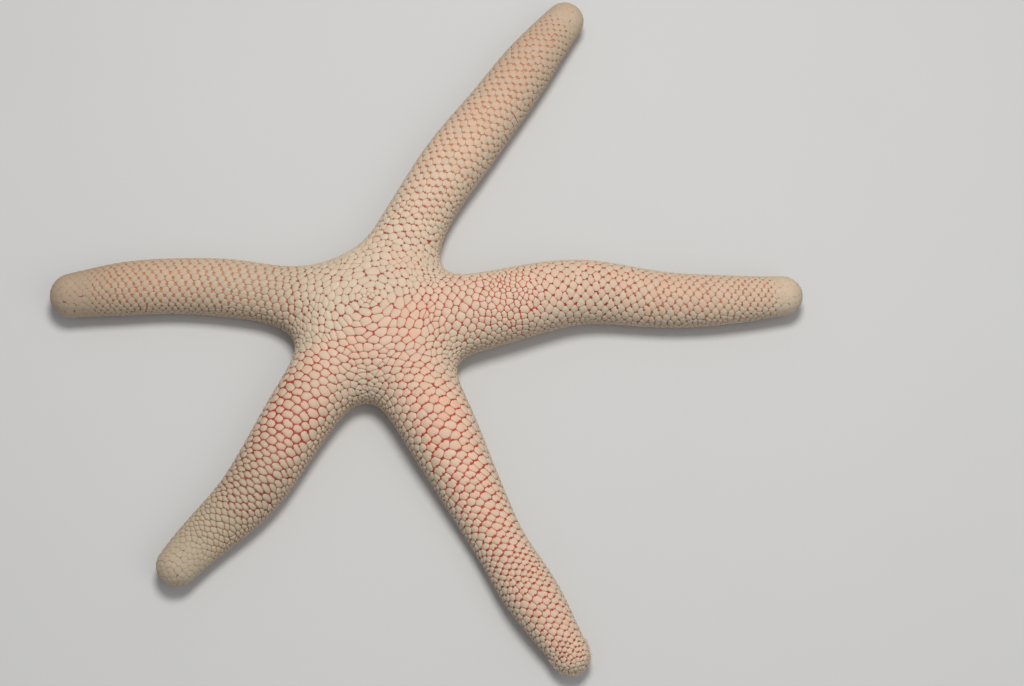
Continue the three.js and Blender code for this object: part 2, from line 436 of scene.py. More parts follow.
def ripple(P):
    """Gentle unevenness a few mm across, about -1 to 1."""
    return np.clip(np.sin(P @ WAVES.T + PHASES).sum(1) / 3.0, -1, 1)


def patchy(arm, s, away):
    """The patch of mixed small plates where the second arm leaves the disc."""
    return np.exp(-(((s - 23.0) / 7.0) ** 2) - ((away / 8.0) ** 2)) * (arm == 1)


def plate_width(P, n, arm, s, away, calm=False):
    """Size aimed at for the plates, mm across, at points of the surface."""
    L = np.array(LENGTH)[arm]
    t = s / L
    eta = eta_at(P, arm, s)
    top = np.zeros(len(P))
    for k in range(5):
        on = arm == k
        a, c = file_steps(k, s[on])
        top[on] = np.sqrt(a * c * eta[on] / 0.866)
    r = np.hypot(*(P[:, :2] - CENTRE_ANUS).T)
    d = P[:, :2] - CENTRE_ANUS
    front = smooth01(-d[:, 1] + 0.3 * d[:, 0], 0.5, 6.0)
    disc = (1.62 + 0.20 * front) * np.sqrt(roundness(r)) - 0.80 * np.exp(-((r / 1.7) ** 2))
    disc = disc * (1 - 0.52 * np.exp(-((np.hypot(*(P[:, :2] - SIEVE).T) / 1.2) ** 2)))
    w = smooth01(s, 7, 14)
    top = disc * (1 - w) + top * w
    if not calm:
        uneven = ripple(P)
        top = top * (1 + 0.05 * uneven)
        top = top * (1 - patchy(arm, s, away) * (0.43 - 0.08 * uneven))
        patch = np.exp(-(((s - 56.0) / 2.6) ** 2) - ((away / 3.0) ** 2)) * (arm == 2)
        top = top * (1 - 0.20 * patch)
    side = 0.98 + 0.08 * (1 - t)
    h = side + (top - side) * smooth01(n[:, 2], 0.05, 0.66)
    h = h * (1 + 0.22 * smooth01(-n[:, 2], 0.1, 0.7))
    for c, reach, drop in zip(NOTCH, NOTCH_REACH, NOTCH_DROP):
        d = np.hypot(*(P[:, :2] - c).T)
        h = h * (1 - drop * np.exp(-((d / reach) ** 2)))
    h = h * (1 - 0.24 * (arm == 2) * smooth01(s, L - 3.0, L - 0.5))
    for c in ENDS[[0, 1, 3, 4]]:
        h = h * (1 + 0.25 * np.exp(-((np.linalg.norm(P - c, axis=1) / 0.8) ** 2)))
    return np.maximum(h, 0.66)


def in_groove(P, n, arm, s, away):
    """Soft underside that bears no plates: the grooves and the mouth."""
    a = np.select([arm == k for k in range(5)], [half_width(k, s) for k in range(5)])
    under = P[:, 2] < 3.0 + 0 * a
    mouth = np.hypot(*(P[:, :2] - DISC_CENTRE).T) < MOUTH_RADIUS + 0.1
    return under & (n[:, 2] < 0.2) & ((away < GROOVE_WIDTH * a + 0.12) | mouth)


OUTER_V, OUTER_Q = level_surface(0.0)
OUTER_V = to_level(OUTER_V, 0.0)


def scatter(count):
    """Random points spread evenly over the outer surface."""
    tri = np.vstack([OUTER_Q[:, [0, 1, 2]], OUTER_Q[:, [0, 2, 3]]])
    a, b, c = (OUTER_V[tri[:, k]] for k in range(3))
    area = np.linalg.norm(np.cross(b - a, c - a), axis=1) / 2
    pick = RNG.choice(len(tri), count, p=area / area.sum())
    u, v = RNG.random(count), RNG.random(count)
    over = u + v > 1
    u[over], v[over] = 1 - u[over], 1 - v[over]
    P = a[pick] + (b - a)[pick] * u[:, None] + (c - a)[pick] * v[:, None]
    return to_level(P, 0.0, 2)


def tree_of(P):
    t = KDTree(len(P))
    for i, p in enumerate(P):
        t.insert(p, i)
    t.balance()
    return t


def section(arm, s, angles):
    """Points where rays from an arm's axis meet the surface; angle 0 is up."""
    p, h = point_at(arm, s)
    c = np.stack([p[:, 0], p[:, 1], axis_height(arm, s)], -1)[:, None, :]
    side = np.stack([-h[:, 1], h[:, 0], 0 * s], -1)[:, None, :]
    ray = side * np.sin(angles)[None, :, None] + np.array([0, 0, 1.0]) * np.cos(angles)[None, :, None]
    lo = np.zeros((len(s), len(angles), 1))
    hi = np.full((len(s), len(angles), 1), 8.8)
    for _ in range(14):
        mid = (lo + hi) / 2
        v, _ = sample((c + ray * mid).reshape(-1, 3))
        inside = (v < 0).reshape(mid.shape)
        lo, hi = np.where(inside, mid, lo), np.where(inside, hi, mid)
    return c + ray * (lo + hi) / 2


def seed_files():
    """Plates in files along the back and sides of each arm, and rings on the disc."""
    out = []
    angles = np.radians(np.arange(-104, 105, 4))
    zero = len(angles) // 2
    for arm in range(5):
        S = np.arange(5.0, LENGTH[arm] - 0.4, 0.4)
        ring = section(arm, S, angles)
        flat = ring.reshape(-1, 3)
        ss = np.repeat(S, len(angles))
        who = np.full(len(flat), arm)
        mid, _ = point_at(arm, S)
        aw = np.hypot(*(flat[:, :2] - np.repeat(mid, len(angles), 0)).T)
        w = plate_width(flat, normals_at(flat), who, ss, aw, calm=True).reshape(len(S), -1)
        step_a, step_c = file_steps(arm, S)
        ratio = w / np.sqrt(step_a * step_c)[:, None] / np.sqrt(eta_at(flat, who, ss) / 0.866).reshape(len(S), -1)
        a = step_a[:, None] * ratio
        c = step_c[:, None] * ratio
        step = np.linalg.norm(np.diff(ring, axis=1), axis=2)
        J = np.concatenate([np.zeros((len(S), 1)), np.cumsum((1 / c[:, 1:] + 1 / c[:, :-1]) / 2 * step, axis=1)], 1)
        J -= J[:, zero : zero + 1]
        place = np.arange(len(angles))
        up = normals_at(flat)[:, 2].reshape(len(S), -1)
        slide = np.cumsum(np.interp(S, KNOTS, DRIFT[arm]) / step_c) * 0.4
        shared = np.cumsum(1 / step_a) * 0.4
        for j in range(-30, 31):
            here = j + slide
            at = np.array([np.interp(here[i], J[i], place) for i in range(len(S))])
            good = (J[:, 0] <= here) & (J[:, -1] >= here)
            if not good.any():
                continue
            pick = lambda table: np.array([np.interp(at[i], place, table[i]) for i in range(len(S))])
            back = (pick(up) > 0.50) & (pick(ratio) > 0.80)
            for U, use in ((shared, back), (np.cumsum(pick(1 / a)) * 0.4, ~back)):
                marks = np.arange(math.ceil(U[0]) - 1, U[-1] + 1) + (SHIFT[arm] * j) % 1.0
                for u in marks[(marks > U[0]) & (marks < U[-1])]:
                    i = np.interp(u, U, np.arange(len(S)))
                    i0 = min(int(i), len(S) - 2)
                    if not (good[i0] and good[i0 + 1] and use[i0]):
                        continue
                    f = i - i0
                    p = [np.interp(at[q], place, ring[q, :, m]) for q in (i0, i0 + 1) for m in range(3)]
                    p = np.array(p[:3]) * (1 - f) + np.array(p[3:]) * f
                    out.append(p)
    out = np.array(out)
    arm, s, _, away = locate(out)
    r = np.hypot(*(out[:, :2] - CENTRE_ANUS).T)
    lost = RNG.random(len(out)) < np.array([0.02, 0.02, 0.03, 0.035, 0.01])[arm] * (s < 55)
    sieve = np.hypot(*(out[:, :2] - SIEVE).T) < 1.5
    out = out[(r > 7.4) & (patchy(arm, s, away) < 0.45) & ~lost & ~sieve]
    # keep one where two plates would fall together
    free = np.ones(len(out), bool)
    t = tree_of(out)
    arm, s, _, away = locate(out)
    n = normals_at(out)
    room = 0.70 * plate_width(out, n, arm, s, away, calm=True) / np.sqrt(eta_at(out, arm, s))
    for i in np.argsort(-n[:, 2]):
        if free[i]:
            for _, q, d in t.find_range(out[i], room[i]):
                if q != i:
                    free[q] = False
    out = out[free]
    rings = []
    for radius, pitch in ((0.60, 0.66), (1.50, 1.20), (2.65, 1.85), (3.95, 2.10), (5.30, 2.20), (6.65, 2.20)):
        count = int(round(2 * math.pi * radius / pitch))
        a = np.arange(count) * 2 * math.pi / count + RNG.uniform(0, 6.28)
        a = a + RNG.normal(0, 0.10, count)
        rr = radius + RNG.normal(0, 0.10, count)
        rings.append(np.stack([CENTRE_ANUS[0] + rr * np.cos(a), CENTRE_ANUS[1] + rr * np.sin(a), np.full(count, 9.0)], -1))
    rings = to_level(np.vstack(rings), 0.0, 6)
    rings = rings[np.hypot(*(rings[:, :2] - SIEVE).T) > 1.5]
    out = np.vstack([out, rings])
    # nothing grows quite in line
    arm, s, _, _ = locate(out)
    loose = 0.16 - np.array([0.05, 0.06, 0.06, 0.07, 0.08])[arm] * smooth01(s, 16, 30)
    out = out + RNG.normal(0, 1, out.shape) * loose[:, None]
    sway = np.array([0.22, 0.20, 0.28, 0.20, 0.16])[arm] * smooth01(s, 10, 16) * (1 - smooth01(s / np.array(LENGTH)[arm], 0.9, 1.0))
    out = out + np.stack([ripple(out + q) for q in (0.0, 31.0, 57.0)], -1) * sway[:, None]
    return to_level(out, 0.0, 3)


def lay_plates():
    P = scatter(170000)
    n = normals_at(P)
    arm, s, _, away = locate(P)
    bare = in_groove(P, n, arm, s, away)
    P, n, arm, s, away = P[~bare], n[~bare], arm[~bare], s[~bare], away[~bare]
    h = plate_width(P, n, arm, s, away)
    eta = eta_at(P, arm, s)
    Q = stretch(P, arm, s)
    # files first, then darts wherever there is room
    rows = seed_files()
    last = np.linalg.norm(rows[:, None] - ENDS[None], axis=2).min(1) > 1.2
    rows = rows[last]
    seeds = list(stretch(rows, *locate(rows)[:2])) + list(stretch(ENDS, *locate(ENDS)[:2]))
    kinds = [1] * len(rows) + [2] * 5
    cellsize = 2.0
    cells = {}
    key = lambda q: (int(q[0] // cellsize), int(q[1] // cellsize), int(q[2] // cellsize))
    for q in seeds:
        cells.setdefault(key(q), []).append(q)
    for i in RNG.permutation(len(Q))[:110000]:
        q = Q[i]
        k = key(q)
        r2 = (0.80 * h[i]) ** 2
        free = True
        for dx in (-1, 0, 1):
            for dy in (-1, 0, 1):
                for dz in (-1, 0, 1):
                    for o in cells.get((k[0] + dx, k[1] + dy, k[2] + dz), ()):
                        if (o[0] - q[0]) ** 2 + (o[1] - q[1]) ** 2 + (o[2] - q[2]) ** 2 < r2:
                            free = False
                            break
                    if not free:
                        break
                if not free:
                    break
            if not free:
                break
        if free:
            seeds.append(q)
            kinds.append(0)
            cells.setdefault(k, []).append(q)
    seeds = np.array(seeds)
    kinds = np.array(kinds)
    # even them out by their share of the surface
    weight = eta * h**-4.0
    real = np.zeros((len(seeds), 3))
    for turn in range(5):
        t = tree_of(seeds)
        own = np.fromiter((t.find(q)[1] for q in Q), int, len(Q))
        total = np.bincount(own, weight, len(seeds))
        mean = np.stack([np.bincount(own, weight * Q[:, k], len(seeds)) for k in range(3)], -1) / np.maximum(total, 1e-9)[:, None]
        real = np.stack([np.bincount(own, weight * P[:, k], len(seeds)) for k in range(3)], -1) / np.maximum(total, 1e-9)[:, None]
        count = np.bincount(own, minlength=len(seeds))
        move = np.array([1.0, 0.28, 0.0])[kinds][:, None]
        seeds = np.where(count[:, None] > 3, seeds + (mean - seeds) * move, seeds)
    # back to the body: where each seed stands among the points it owns
    t = tree_of(Q)
    near = np.array([t.find(q)[1] for q in seeds])
    home = P[near] + (seeds - Q[near])
    ok = (count > 3) & (np.linalg.norm(home - real, axis=1) < 0.9)
    where = np.where(ok[:, None], home, real)
    ok = count > 3
    return to_level(where[ok], 0.0, 3)


SEED = lay_plates()

TERMINAL = np.zeros(len(SEED), bool)
TERMINAL[np.linalg.norm(SEED[:, None] - ENDS[None], axis=2).argmin(0)] = True

N = len(SEED)
S_N = normals_at(SEED)
S_ARM, S_S, S_LEFT, S_AWAY = locate(SEED)
S_H = plate_width(SEED, S_N, S_ARM, S_S, S_AWAY)
S_ETA = eta_at(SEED, S_ARM, S_S)
S_Q = stretch(SEED, S_ARM, S_S)
HEAD = np.zeros((N, 3))
for k in range(5):
    on = S_ARM == k
    HEAD[on, :2] = point_at(k, S_S[on])[1]
# on the disc, plates face its middle
facing = (SEED[:, :2] - CENTRE_ANUS) / np.maximum(from_anus(SEED), 1e-3)[:, None]
turning = smooth01(S_S, 11, 19)[:, None]
HEAD[:, :2] = HEAD[:, :2] * turning + facing * (1 - turning)
HEAD /= np.maximum(np.linalg.norm(HEAD, axis=1), 1e-3)[:, None]
E1 = HEAD - S_N * (HEAD * S_N).sum(1)[:, None]
short = np.linalg.norm(E1, axis=1) < 0.2
E1[short] = np.array([0, 0, 1.0]) - S_N[short] * S_N[short, 2:3]
E1 /= np.linalg.norm(E1, axis=1)[:, None]
E2 = np.cross(S_N, E1)

TONE = RNG.random(N)
PINK = RNG.random(N)
TILT = RNG.uniform(0, 2 * math.pi, N)
MIXED = patchy(S_ARM, S_S, S_AWAY)
VARY = np.where(S_S < 24, 0.17 + 0.07 * (S_ARM == 3), np.array([0.08, 0.09, 0.13, 0.19, 0.07])[S_ARM]) + 0.10 * MIXED
WEIGHT = S_H * (1 + VARY * RNG.uniform(-1, 1, N))
WEIGHT[TERMINAL] = S_H[TERMINAL] * 1.15

FLANK = 1 - smooth01(S_N[:, 2], 0.15, 0.80)  # 0 on the back, 1 on the sides
UNDER = smooth01(-S_N[:, 2], 0.15, 0.6)


def webbing(P):
    """1 in the corners between arms, 0 away from them."""
    out = np.zeros(len(P))
    for c, reach in zip(NOTCH, NOTCH_REACH):
        out = np.maximum(out, np.exp(-((np.hypot(*(P[:, :2] - c).T) / (reach * 0.9)) ** 2)))
    return out


RUDDY = ((5.3, 8.6, 2.8, 1.0), (8.5, -3.0, 4.0, 0.45), (-4.0, -9.5, 3.2, 0.5), (12.5, -20.0, 3.5, 0.7))


def ruddy(P):
    """Soft peach blotches on the disc and the roots of the arms."""
    out = np.zeros(len(P))
    for x, y, size, amount in RUDDY:
        d = P[:, :2] - DISC_CENTRE - np.array([x, y])
        out = np.maximum(out, amount * np.exp(-((np.hypot(*d.T) / size) ** 2)))
    return out


def pallor(P, n, arm, s):
    """1 where the plates are a cool cream: down the slopes and in the corners."""
    slope = 1 - smooth01(n[:, 2], 0.55, 0.96)
    out = np.maximum(slope, 0.9 * webbing(P))
    out = np.maximum(out, 0.7 * (arm == 4) * smooth01(s, 4, 12) * (1 - smooth01(s, 24, 36)))
    out = np.maximum(out, 0.35 * (1 - smooth01(from_anus(P), 8, 18)))
    out = np.maximum(out, 0.40 * (arm == 1) * (1 - smooth01(s, 22, 34)))
    return out * (1 - ruddy(P))


def redness(P, n, arm, s):
    """How red and open the gaps are: most on the front of the disc and arms 2, 3, 4."""
    d = P[:, :2] - DISC_CENTRE
    front = smooth01(-d[:, 1] + 0.62 * d[:, 0], -5.0, 6.5)
    t = s / np.array(LENGTH)[arm]
    onarm = smooth01(s, 12, 20)
    fade = np.array([0.35, 0.55, 0.05, 0.35, 0.35])[arm]
    arms = np.array([0.34, 0.46, 0.90, 1.0, 0.26])[arm] * (1 - fade * smooth01(t, 0.50, 1.0))
    arms = arms * (1 - 0.72 * (arm == 3) * smooth01(t, 0.46, 0.78))
    arms = arms * (1 - 0.32 * (arm == 2) * np.exp(-(((s - 53.0) / 6.5) ** 2)))
    arms = arms + 0.24 * (arm == 1) * (1 - smooth01(s, 24, 34))
    arms = arms * (1 - np.array([0.6, 0.6, 0.15, 0.6, 0.6])[arm] * smooth01(t, 0.86, 1.0))
    r = front * (1 - onarm) + arms * onarm
    r = np.maximum(r, 0.20 + 0.10 * (1 - onarm))
    r = r * (1 - 0.75 * webbing(P))
    return np.clip(r * (0.22 + 0.78 * smooth01(n[:, 2], 0.30, 0.90)), 0, 1)


S_RED = redness(SEED, S_N, S_ARM, S_S)
S_T = S_S / np.array(LENGTH)[S_ARM]
# 1 at the arms' ends, where plates close up; the third arm is plated to its end
S_END = smooth01(S_T, np.array([0.91, 0.96, 0.95, 0.86, 0.90])[S_ARM], np.array([1.0, 1.0, 1.0, 0.97, 0.99])[S_ARM])
S_END = S_END * np.array([1.0, 0.9, 0.1, 1.0, 1.0])[S_ARM]
GAP = -0.045 + np.where(S_ARM == 2, 0.062, 0.085) * S_RED + 0.03 * (S_ARM == 3) * smooth01(S_S, 16, 28) + 0.07 * MIXED + 0.02 * FLANK * (1 - UNDER) * (1 - S_END) - 0.10 * S_END - 0.03 * UNDER

# each plate's outline: halfway to its neighbours, with the corners rounded
KN = 14
tree = tree_of(S_Q)
NEAR = np.array([[i for _, i, _ in tree.find_n(q, KN + 1)][1:] for q in S_Q])
D = SEED[NEAR] - SEED[:, None]
dx = (D * E1[:, None]).sum(2)
dy = (D * E2[:, None]).sum(2)
true = np.linalg.norm(D, axis=2) / np.maximum(np.hypot(dx, dy), 1e-6)
true = np.minimum(true, 1.5)
dx, dy = dx * true * S_ETA[:, None], dy * true
DIST = np.hypot(dx, dy)
PHI = np.arctan2(dy, dx)
squeeze = np.hypot(np.cos(PHI) / S_ETA[:, None], np.sin(PHI))
# plates are drawn out a little, round the middle on the disc and any way elsewhere
LONG = np.stack([-(SEED[:, 1] - CENTRE_ANUS[1]), SEED[:, 0] - CENTRE_ANUS[0], 0 * SEED[:, 0]], -1)
LONG /= np.maximum(np.linalg.norm(LONG, axis=1), 1e-6)[:, None]
turn = RNG.normal(0, 0.55, N) + (S_S > 15) * RNG.uniform(-1.5, 1.5, N)
LONG = LONG * np.cos(turn)[:, None] + np.cross(S_N, LONG) * np.sin(turn)[:, None]
STRONG = np.where(S_S < 17, 0.18, np.array([0.07, 0.09, 0.12, 0.18, 0.07])[S_ARM]) * RNG.uniform(0.2, 1.0, N)
unit = D / np.maximum(np.linalg.norm(D, axis=2), 1e-6)[:, :, None]
mine = WEIGHT[:, None] * (1 + STRONG[:, None] * (2 * (unit * LONG[:, None]).sum(2) ** 2 - 1))
theirs = WEIGHT[NEAR] * (1 + STRONG[NEAR] * (2 * (unit * LONG[NEAR]).sum(2) ** 2 - 1))
BISECT = DIST * mine / (mine + theirs)
# on the arms the gaps run across; plates side by side nearly touch
across = 1 - (unit * E1[:, None]).sum(2) ** 2
SHUT = np.array([0.55, 0.35, 0.45, 0.50, 0.55])[S_ARM] * smooth01(S_S, 13, 19) * (1 - 0.8 * FLANK)
shut = across * SHUT[:, None]
REACH = np.maximum(BISECT - (GAP[:, None] * (1 - shut) - 0.03 * shut) / 2 / squeeze, 0.12)
same_side = (S_N[:, None] * S_N[NEAR]).sum(2) > -0.2
REACH = np.where(same_side, REACH, 9.0)
WHOLE = np.where(same_side, BISECT, 9.0)


CRISP = np.where(S_S < 14, 13.0, np.array([9.0, 9.0, 13.0, 14.0, 9.0])[S_ARM]) + 5.0 * MIXED
# half a plate's length along the arm at most
FLAT = np.select(
    [S_ARM == 2, S_ARM == 3],
    [0.98 - 0.14 * smooth01(S_S, 26, 40) - 0.10 * np.exp(-(((S_S - 53.0) / 8.0) ** 2)), 0.96 - 0.44 * smooth01(S_S, 22, 42)],
    9.0,
) * (1 + 0.10 * (TONE - 0.5)) + 3.0 * (1 - smooth01(S_S, 13, 19)) + 0.8 * FLANK + 3.0 * UNDER
FLAT += np.where(S_ARM == 3, 0.8 * smooth01(S_T, 0.76, 0.90), 0.3 * smooth01(S_T, 0.7, 0.9))


def outline(i, theta, reach=REACH):
    """Reach of plates i at angles theta, in the stretched lie."""
    c = np.maximum(np.cos(theta[:, :, None] - PHI[i][:, None, :]), 1e-4)
    sharp = CRISP[i][:, None]
    x = (c / reach[i][:, None, :]) ** sharp[:, :, None]
    cap = (1 / (0.85 * S_H[i] * np.where(TERMINAL[i], 1.6, 1)))[:, None] ** sharp
    r = (x.sum(2) + cap) ** (-1 / sharp)
    if reach is WHOLE:
        return r
    # a soft limit on the length, so that the plate turns lens-shaped
    long = np.abs(np.cos(theta)) / (FLAT[i] * S_ETA[i])[:, None]
    return (r**-8.0 + long**8.0) ** -0.125


# ----------------------------------------------------------------- the pores
# Soft papulae come up between the plates: on the arms one on the disc side of
# each plate, on the disc where three plates meet. The plates are notched round them.
def corners(who):
    """Places where three plates meet."""
    out, red = [], []
    order = np.argsort(np.where(same_side, BISECT, 99), axis=1)[:, :8]
    for i in np.nonzero(who)[0]:
        js = order[i]
        js = js[np.argsort(PHI[i, js])]
        for a, b in zip(js, np.roll(js, -1)):
            ja, jb = NEAR[i, a], NEAR[i, b]
            if not (i < ja and i < jb):
                continue
            n1 = np.array([math.cos(PHI[i, a]), math.sin(PHI[i, a])])
            n2 = np.array([math.cos(PHI[i, b]), math.sin(PHI[i, b])])
            det = n1[0] * n2[1] - n1[1] * n2[0]
            if abs(det) < 0.35:
                continue
            b1, b2 = BISECT[i, a], BISECT[i, b]
            p = np.array([(b1 * n2[1] - b2 * n1[1]) / det, (n1[0] * b2 - n2[0] * b1) / det])
            r = math.hypot(*p)
            th = math.atan2(p[1], p[0])
            if r > 1.25 * S_H[i]:
                continue
            if (np.cos(PHI[i] - th) * r > BISECT[i] + 0.05).any():
                continue
            out.append(SEED[i] + E1[i] * p[0] / S_ETA[i] + E2[i] * p[1])
            red.append(i)
    return np.array(out), np.array(red)


def lay_pores():
    back = (S_S > 14.0) & (S_N[:, 2] > 0.10) & (S_T < np.array([0.985, 0.985, 1.01, 0.80, 0.945])[S_ARM]) & ~TERMINAL
    ids = np.nonzero(back)[0]
    r = outline(ids, np.full((len(ids), 1), math.pi), reach=WHOLE)[:, 0] / S_ETA[ids]
    arms = SEED[ids] - E1[ids] * r[:, None]
    size = np.array([0.25, 0.195, 0.21, 0.195, 0.25])[S_ARM[ids]]
    size = np.where((S_ARM[ids] == 3) & (S_T[ids] > 0.5), 0.15, size)
    size = size * RNG.uniform(0.82, 1.15, len(ids)) * (1 - 0.30 * FLANK[ids]) * (1 - np.array([0.25, 0.15, 0.15, 0.35, 0.35])[S_ARM[ids]] * smooth01(S_T[ids], 0.80, 0.95))
    size = size * (0.70 + 0.30 * smooth01(S_S[ids], 16, 28)) * (1 - 0.3 * MIXED[ids])
    disc, who = corners((S_S <= 15.0) & (S_N[:, 2] > 0.3) & (np.hypot(*(SEED[:, :2] - CENTRE_ANUS).T) > 1.0))
    keep = RNG.random(len(disc)) < 0.70
    disc, who = disc[keep], who[keep]
    small = np.minimum(0.17 * RNG.uniform(0.75, 1.2, len(disc)), 0.14 * S_H[who])
    P = to_level(np.vstack([arms, disc]), 0.0, 3)
    size = np.concatenate([size, small])
    who = np.concatenate([ids, who])
    # pores that run together become one
    t = tree_of(P)
    free = np.ones(len(P), bool)
    for i in np.argsort(-size):
        if free[i]:
            for _, q, d in t.find_range(P[i], 0.34):
                if q != i and free[q] and (size[q] <= size[i]):
                    free[q] = False
    P, size, who = P[free], size[free], who[free]
    vent = to_level(np.array([[CENTRE_ANUS[0] + 0.1, CENTRE_ANUS[1], 9.0]]), 0.0, 6)
    return np.vstack([P, vent]), np.append(size, 0.30), np.append(who, np.linalg.norm(SEED - vent, axis=1).argmin())


C_P, C_R, C_OF = lay_pores()
C_RED = S_RED[C_OF]
pores = tree_of(C_P)
NP = 9
CUT = np.zeros((N, NP, 3))
for i in np.nonzero(S_N[:, 2] > -0.1)[0]:
    for m, (_, q, d) in enumerate(pores.find_n(SEED[i], NP)):
        v = C_P[q] - SEED[i]
        if d < 2.4:
            x, y = v @ E1[i], v @ E2[i]
            flat = max(math.hypot(x, y), 1e-6)
            CUT[i, m] = x * d / flat, y * d / flat, C_R[q]


def notch(i, theta, r, ease=0.0):
    """The outline r cut back round the pores beside plates i."""
    c, s = np.cos(theta) / S_ETA[i][:, None], np.sin(theta)
    ln = np.hypot(c, s)
    u, v = c / ln, s / ln
    real = r * ln
    for m in range(NP):
        x, y, a = (CUT[i, m, q][:, None] for q in range(3))
        a = a + ease
        b = u * x + v * y
        d = b * b - (x * x + y * y - a * a)
        hit = (CUT[i, m, 2][:, None] > 0) & (d > 0) & (b > 0)
        real = np.where(hit, np.minimum(real, np.maximum(b - np.sqrt(np.maximum(d, 0)), 0.35 * real)), real)
    return real / ln


def spread_angles(i, K):
    """K angles round each plate, closer together beside the pores."""
    grid = np.linspace(-math.pi, math.pi, 145)
    w = np.ones((len(i), 144))
    mid = (grid[1:] + grid[:-1]) / 2
    for m in range(NP):
        x, y, a = (CUT[i, m, q] for q in range(3))
        ang = np.arctan2(y, x * S_ETA[i])
        rho = np.maximum(np.hypot(x, y), 0.2)
        away = rho - outline(i, ang[:, None], reach=WHOLE)[:, 0] * np.hypot(np.cos(ang) / S_ETA[i], np.sin(ang))
        on = (a > 0) & (away < a + 0.05)
        gap = (mid[None] - ang[:, None] + math.pi) % (2 * math.pi) - math.pi
        w += on[:, None] * 2.4 * np.exp(-((gap / np.clip(1.25 * a / rho, 0.10, 0.6)[:, None]) ** 2))
    W = np.concatenate([np.zeros((len(i), 1)), np.cumsum(w, 1)], 1)
    W /= W[:, -1:]
    start = RNG.uniform(0, 1, len(i))
    out = np.empty((len(i), K))
    for q in range(len(i)):
        out[q] = np.interp(np.sort((np.arange(K) / K + start[q] / K) % 1.0), W[q], grid)
    return out


# --------------------------------------------------------- unwrap of the skin
UNIT = 1 / 160.0
CHART_AT = {0: (0.02, 0.13), 1: (0.02, 0.37), 2: (0.02, 0.61), 3: (0.42, 0.13), 4: (0.42, 0.37), 5: (0.18, 0.86), 6: (0.56, 0.64)}
ARM_CHART = 17.0


def unwrap(P, arm, s, left, chart, ref=None):
    """Place on the skin's unwrap: arms as strips slit underneath, disc as two rounds."""
    uv = np.zeros((len(P), 2))
    for k in range(5):
        on = chart == k
        if not on.any():
            continue
        a = np.full(on.sum(), k)
        sk, _, lk = nearest(k, P[on, :2])
        end, h = point_at(k, np.array(LENGTH[k]))
        ahead = np.maximum((P[on, :2] - end) @ h, 0) * (sk >= LENGTH[k] - 1e-6)
        c = axis_height(k, sk)
        beta = np.arctan2(lk, P[on, 2] - c)
        if ref is not None:
            beta = beta + 2 * math.pi * np.round((ref[on] - beta) / (2 * math.pi))
        R = 0.46 * (half_width(k, sk) + half_height(k, sk))
        lam = np.arctan2(ahead, np.maximum(np.hypot(lk, P[on, 2] - c), 1e-6))
        uv[on, 0] = CHART_AT[k][0] + (sk - ARM_CHART + R * lam) * UNIT
        uv[on, 1] = CHART_AT[k][1] + beta * R * np.cos(lam) * UNIT
    d = P[:, :2] - DISC_CENTRE
    r = np.maximum(np.hypot(d[:, 0], d[:, 1]), 1e-6)
    for k, rr in ((5, r + np.clip(7.5 - P[:, 2], 0, 4.4)), (6, r + 0.5 * np.clip(P[:, 2], 0, 4))):
        on = chart == k
        uv[on] = np.array(CHART_AT[k]) + d[on] / r[on, None] * rr[on, None] * UNIT * np.array([1, 1 if k == 5 else -1])
    return uv


def chart_of(P, arm, s):
    return np.where(s > ARM_CHART, arm, np.where(P[:, 2] > 3.2, 5, 6))


def beta_of(P, arm, s, left):
    c = np.select([arm == k for k in range(5)], [axis_height(k, s) for k in range(5)])
    return np.arctan2(left, P[:, 2] - c)


S_UV = unwrap(SEED, S_ARM, S_S, S_LEFT, chart_of(SEED, S_ARM, S_S))


# ---------------------------------------------------------------- mesh making
def build(name, verts, faces, material, uv=None, loop_uv=None, shades=None):
    """A mesh object from mm points and faces of three or four corners (-1: none)."""
    faces = np.asarray(faces)
    if faces.shape[1] == 3:
        faces = np.hstack([faces, -np.ones((len(faces), 1), int)])
    size = (faces >= 0).sum(1)
    loops = faces[faces >= 0]
    start = np.concatenate([[0], np.cumsum(size)[:-1]])
    me = bpy.data.meshes.new(name)
    me.vertices.add(len(verts))
    me.vertices.foreach_set("co", (np.asarray(verts) * MM).astype(np.float32).ravel())
    me.loops.add(len(loops))
    me.loops.foreach_set("vertex_index", loops.astype(np.int32))
    me.polygons.add(len(faces))
    me.polygons.foreach_set("loop_start", start.astype(np.int32))
    me.update(calc_edges=True)
    me.polygons.foreach_set("use_smooth", np.ones(len(faces), bool))
    layer = me.uv_layers.new(name="OFBake")
    data = loop_uv if loop_uv is not None else np.asarray(uv)[loops]
    layer.data.foreach_set("uv", data.astype(np.float32).ravel())
    for key, values in (shades or {}).items():
        at = me.attributes.new(key, "FLOAT", "POINT")
        at.data.foreach_set("value", np.asarray(values, np.float32))
    me.validate()
    ob = bpy.data.objects.new(name, me)
    bpy.context.scene.collection.objects.link(ob)
    me.materials.append(material)
    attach(ob, "root")
    return ob


PATCH = 0.0015
# how boldly the plates stand out, by arm, away from the disc
RELIEF = 1 + np.array([-0.46, -0.32, 0.02, 0.26, -0.48])[S_ARM] * smooth01(S_S, 14, 30)


